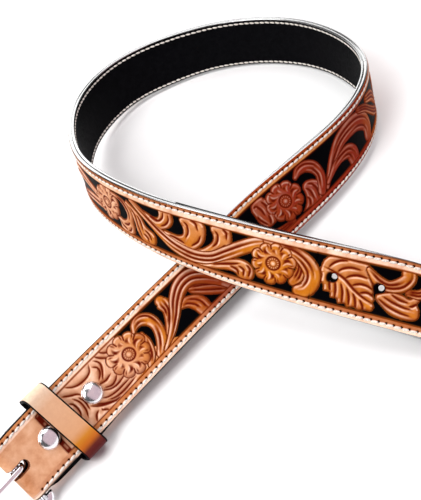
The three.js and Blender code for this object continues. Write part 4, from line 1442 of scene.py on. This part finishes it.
def keeper_path():
    """A path inside the keeper, a corner's radius from its outside: rows of (v, n, way across, way out)."""
    r = KEEPER_CORNER
    right, left, high, low = KEEPER_HALF - r, r - KEEPER_HALF, KEEPER_HIGH - r, KEEPER_LOW + r
    bends = []
    for v, n, start in ((right, high, 0), (left, high, 90), (left, low, 180), (right, low, 270)):
        for a in np.radians(np.linspace(start, start + 90, 9)):
            bends.append((v, n, math.cos(a), math.sin(a)))
    path = []
    for here, after in zip(bends, bends[1:] + bends[:1]):
        path.append(here)
        across = after[0] + r * after[2] - here[0] - r * here[2]
        out = after[1] + r * after[3] - here[1] - r * here[3]
        more = int(math.hypot(across, out) / 1.2)
        for k in range(1, more + 1):
            t = k / (more + 1)
            v, n = (here[i] + (after[i] - here[i]) * t for i in (0, 1))
            path.append((v, n, *here[2:]))
    return path


def keeper_piece():
    """The keeper: a band of leather bent to a rounded rectangle, its edges painted.
    Its section has rows of (along, depth from the outside, 1 where painted)."""
    w, t = KEEPER_HALF_WIDE, KEEPER_THICK
    face = []
    for d in np.linspace(-w + 0.5, w - 0.5, 31):
        face.append((d, 0.14 * ridge(abs(d) - w + 1.3, 0.35), d > w - 1.2))
    side = [(w - 0.15, 0.15, 1), (w, 0.5, 1), (w, t - 0.5, 1), (w - 0.2, t - 0.1, 1)]
    inside = [(d, t, 1) for d in np.linspace(w - 0.6, -w + 0.6, 6)]
    section = np.array(face + side + inside + [(-d, depth, mark) for d, depth, mark in side[::-1]])
    out = KEEPER_CORNER - section[:, 1]
    path = keeper_path()
    rings, lit_to_shade = [], []
    for v, n, across, up in path:
        y = v + out * across
        z = n + out * up
        rings.append(np.stack([KEEPER_S + section[:, 0] + y * KEEPER_SKEW, y, z], -1))
        # Painted light: 0 at the keeper's upper end, where the highlight is painted, to 1 at its lower end,
        # where the shade is
        lit_to_shade.append(np.where(section[:, 1] < t - 0.01, 0.5 - y / (2 * KEEPER_HALF), 0.5))
    faces = ring_faces(len(path), len(section), loop=True)
    painted = section[faces[:, 0] % len(section), 2] > 0
    mesh = mesh_of("keeper_loop", np.vstack(rings), faces, painted, None, (("lit_to_shade", np.concatenate(lit_to_shade)),))
    inputs = {"Face Leather": KEEPER, "Edge Paint": KEEPER_EDGE}
    worked("keeper_loop", mesh, LAYER, inputs, "keeper")


keeper_piece()

# Snaps, turned from rows of (radius, height)
SNAP_DOME = [(5.95 * math.cos(a), 3.0 + 2.3 * math.sin(a)) for a in np.linspace(0, math.pi / 2, 16)]
SNAP_CAP = [(0, -4.9), (1.6, -4.9), (1.6, 2.62), (5.7, 2.62), (6.1, 2.66), (6.22, 2.82), (6.12, 2.95),
            *SNAP_DOME]
SNAP_BACK = [(0, -5.75), (1.6, -5.8), (2.6, -6.05), (3.4, -6.2), (4.3, -5.8), (4.35, -5.45), (3.9, -5.25),
             (0, -5.25)]


def around_section(sides):
    """Angles of the points round a section."""
    return np.linspace(0, 2 * math.pi, sides, endpoint=False)


def belt_frame(s, n):
    """A point of the belt's middle, and the directions along, across and out of the belt there."""
    at = np.array([s])
    return place(at, 0, n)[0], *[way[0] for way in axes(at)]


def turned_piece(name, profile, s0, node, sides):
    """A body turned about an axis that stands on the belt."""
    centre, T, B, N = belt_frame(s0, 0)
    angle = around_section(sides)[:, None]
    rings = [centre + max(radius, 0.02) * (np.cos(angle) * B - np.sin(angle) * T) + rise * N
             for radius, rise in profile]
    mesh = mesh_of(name, np.vstack(rings), ring_faces(len(rings), sides))
    mesh.materials.append(SNAP)
    put(name, mesh, "belt", node)


for number, s0 in enumerate(SNAPS, 1):
    turned_piece(f"snap_dome_{number}", SNAP_CAP, s0, f"snap_cap_{number}", 48)
    turned_piece(f"snap_socket_{number}", SNAP_BACK, s0, f"snap_back_{number}", 40)

# Buckle
BUCKLE_DROOP = 6.0
WIRE_WIDE = 2.75
WIRE_THICK = 1.9
BUCKLE_HALF = 25.25
BUCKLE_HEEL = -2.6
BUCKLE_FAR = 41.25
BUCKLE_CORNER = 4.0
BAR_RADIUS = 2.0
BAR_REACH = 23.0
PRONG_RING = 3.4
PRONG_WIDE = 1.5
PRONG_THICK = 1.1
PRONG_REACH = 39.0
# The prong's point, rows of (how far out, drop, half width, half thickness)
PRONG_POINT = ((41, 0, 1.35, 1.05), (42.4, 0.05, 1.1, 0.88), (43.2, 0.12, 0.6, 0.5))


def buckle_axes():
    """Centre of the bar, and the directions out from the belt, across it and up from it."""
    centre, T, B, N = belt_frame(BAR_S, BAR_N)
    c, s = math.cos(math.radians(BUCKLE_DROOP)), math.sin(math.radians(BUCKLE_DROOP))
    return centre, -c * T - s * N, B, c * N - s * T


def squared(b, power):
    """A rounded section: cosine and sine pulled towards a square."""
    c, s = np.cos(b), np.sin(b)
    return np.sign(c) * np.abs(c) ** power, np.sign(s) * np.abs(s) ** power


def swept(path, section, flat):
    """Rings of a wire along rows of (x, y, angle, half width, half thickness). The path lies flat in the
    buckle's plane, or stands upright on it."""
    centre, out, across, up = buckle_axes()
    w, t = section
    rings = []
    for x, y, a, wide, thick in path:
        if flat:
            px, py, pz = x + wide * w * math.cos(a), y + wide * w * math.sin(a), thick * t
        else:
            px, py, pz = x + thick * t * math.cos(a), wide * w, y + thick * t * math.sin(a)
        rings.append(centre + px[:, None] * out + py[:, None] * across + pz[:, None] * up)
    return np.vstack(rings)


def buckle_piece(name, points, faces, node):
    """A chrome piece of the buckle, which rides on the body of the CAD piece that it replaces."""
    mesh = mesh_of(name, points, faces)
    mesh.materials.append(CHROME)
    put(name, mesh, node, node)


def wire_piece():
    """The frame: a flattened wire bent to a rounded rectangle, and its round bar."""
    r = BUCKLE_CORNER
    side = BUCKLE_HALF - r
    near, far = BUCKLE_HEEL + r, BUCKLE_FAR - r
    path = []
    for x, y, start in ((near, side, 180), (far, side, 90), (far, -side, 0), (near, -side, -90)):
        for a in np.radians(np.linspace(start, start - 90, 13)):
            path.append((x + r * math.cos(a), y + r * math.sin(a), a, WIRE_WIDE, WIRE_THICK))
    ends = [[(*row[:3], row[3] * f, row[4] * f) for f in (0.01, 0.7, 0.92)] for row in (path[0], path[-1])]
    path = ends[0] + path + ends[1][::-1]
    wire = swept(path, squared(around_section(28), 0.8), True)
    centre, out, across, up = buckle_axes()
    c = around_section(24)[:, None]
    profile = ((-BAR_REACH, 0.02), (-BAR_REACH, BAR_RADIUS), (BAR_REACH, BAR_RADIUS), (BAR_REACH, 0.02))
    bar = [centre + radius * np.cos(c) * out + y * across + radius * np.sin(c) * up for y, radius in profile]
    faces = np.vstack([ring_faces(len(path), 28), ring_faces(len(bar), len(c)) + len(wire)])
    buckle_piece("buckle_wire", np.vstack([wire, *bar]), faces[:, ::-1], "buckle_frame")


def prong_piece():
    """The prong: a hook round the bar, and a shank out to the far side of the frame."""
    path = []
    for a in np.radians(np.linspace(10, -270, 41)):
        path.append((PRONG_RING * math.cos(a), PRONG_RING * math.sin(a), a, PRONG_WIDE, PRONG_THICK))
    top = math.radians(-270)
    rest = WIRE_THICK + 0.3 + PRONG_THICK
    for x in np.linspace(1.5, PRONG_REACH, 26):
        y = PRONG_RING + (rest - PRONG_RING) * smooth(x / 30)
        path.append((x, y, top, PRONG_WIDE - 0.1 * x / PRONG_REACH, PRONG_THICK))
    for x, drop, wide, thick in PRONG_POINT:
        path.append((x, rest - drop, top, wide, thick))
    path = [(*path[0][:3], 0.02, 0.02)] + path + [(*path[-1][:3], 0.02, 0.02)]
    points = swept(path, squared(around_section(20), 0.7), False)
    buckle_piece("buckle_tongue", points, ring_faces(len(path), 20), "buckle_prong")


wire_piece()
prong_piece()
bpy.data.objects.remove(LINE)


# Floor and light
def floor_and_world():
    """A white paper floor under a faint white sky."""
    mesh = bpy.data.meshes.new("floor")
    mesh.from_pydata([(-3, -3, 0), (3, -3, 0), (3, 3, 0), (-3, 3, 0)], [], [(0, 1, 2, 3)])
    floor = linked("floor", mesh)
    paper = Finish("white_paper", Roughness=0.9, Specular_IOR_Level=0.1)
    paper.colour(paper.ramp(paper.noise(20, 2), (0.3, shade(238, 238, 238)), (0.7, shade(242, 242, 242))))
    mesh.materials.append(paper.material)
    world = bpy.data.worlds.new("studio")
    world.use_nodes = True
    background = world.node_tree.nodes["Background"].inputs
    background["Color"].default_value = (1, 1, 1, 1)
    background["Strength"].default_value = 0.1
    bpy.context.scene.world = world


def area_light(name, position, target, size, power, colour=(1, 1, 1)):
    """A rectangular lamp. Places and sizes are in metres, power in watts."""
    data = bpy.data.lights.new(name, "AREA")
    data.shape = "RECTANGLE"
    data.size, data.size_y = size
    data.energy = power
    data.color = colour
    lamp = linked(name, data)
    lamp.location = position
    lamp.rotation_euler = (Vector(target) - Vector(position)).to_track_quat("-Z", "Y").to_euler()


floor_and_world()
area_light("key", (-0.75, -0.35, 0.95), (0, 0, 0), (0.8, 0.8), 15)
area_light("top", (0.1, 0.35, 1.25), (0, 0.05, 0), (1.4, 1.1), 13)
area_light("backdrop", (0, 1.7, 0.5), (0, 0, 0.1), (3.2, 0.9), 26)
area_light("card", (0.85, -0.7, 0.75), (0, 0, 0), (1.9, 1.7), 6.5, (1.0, 0.72, 0.78))
bpy.context.scene.view_settings.view_transform = "Standard"
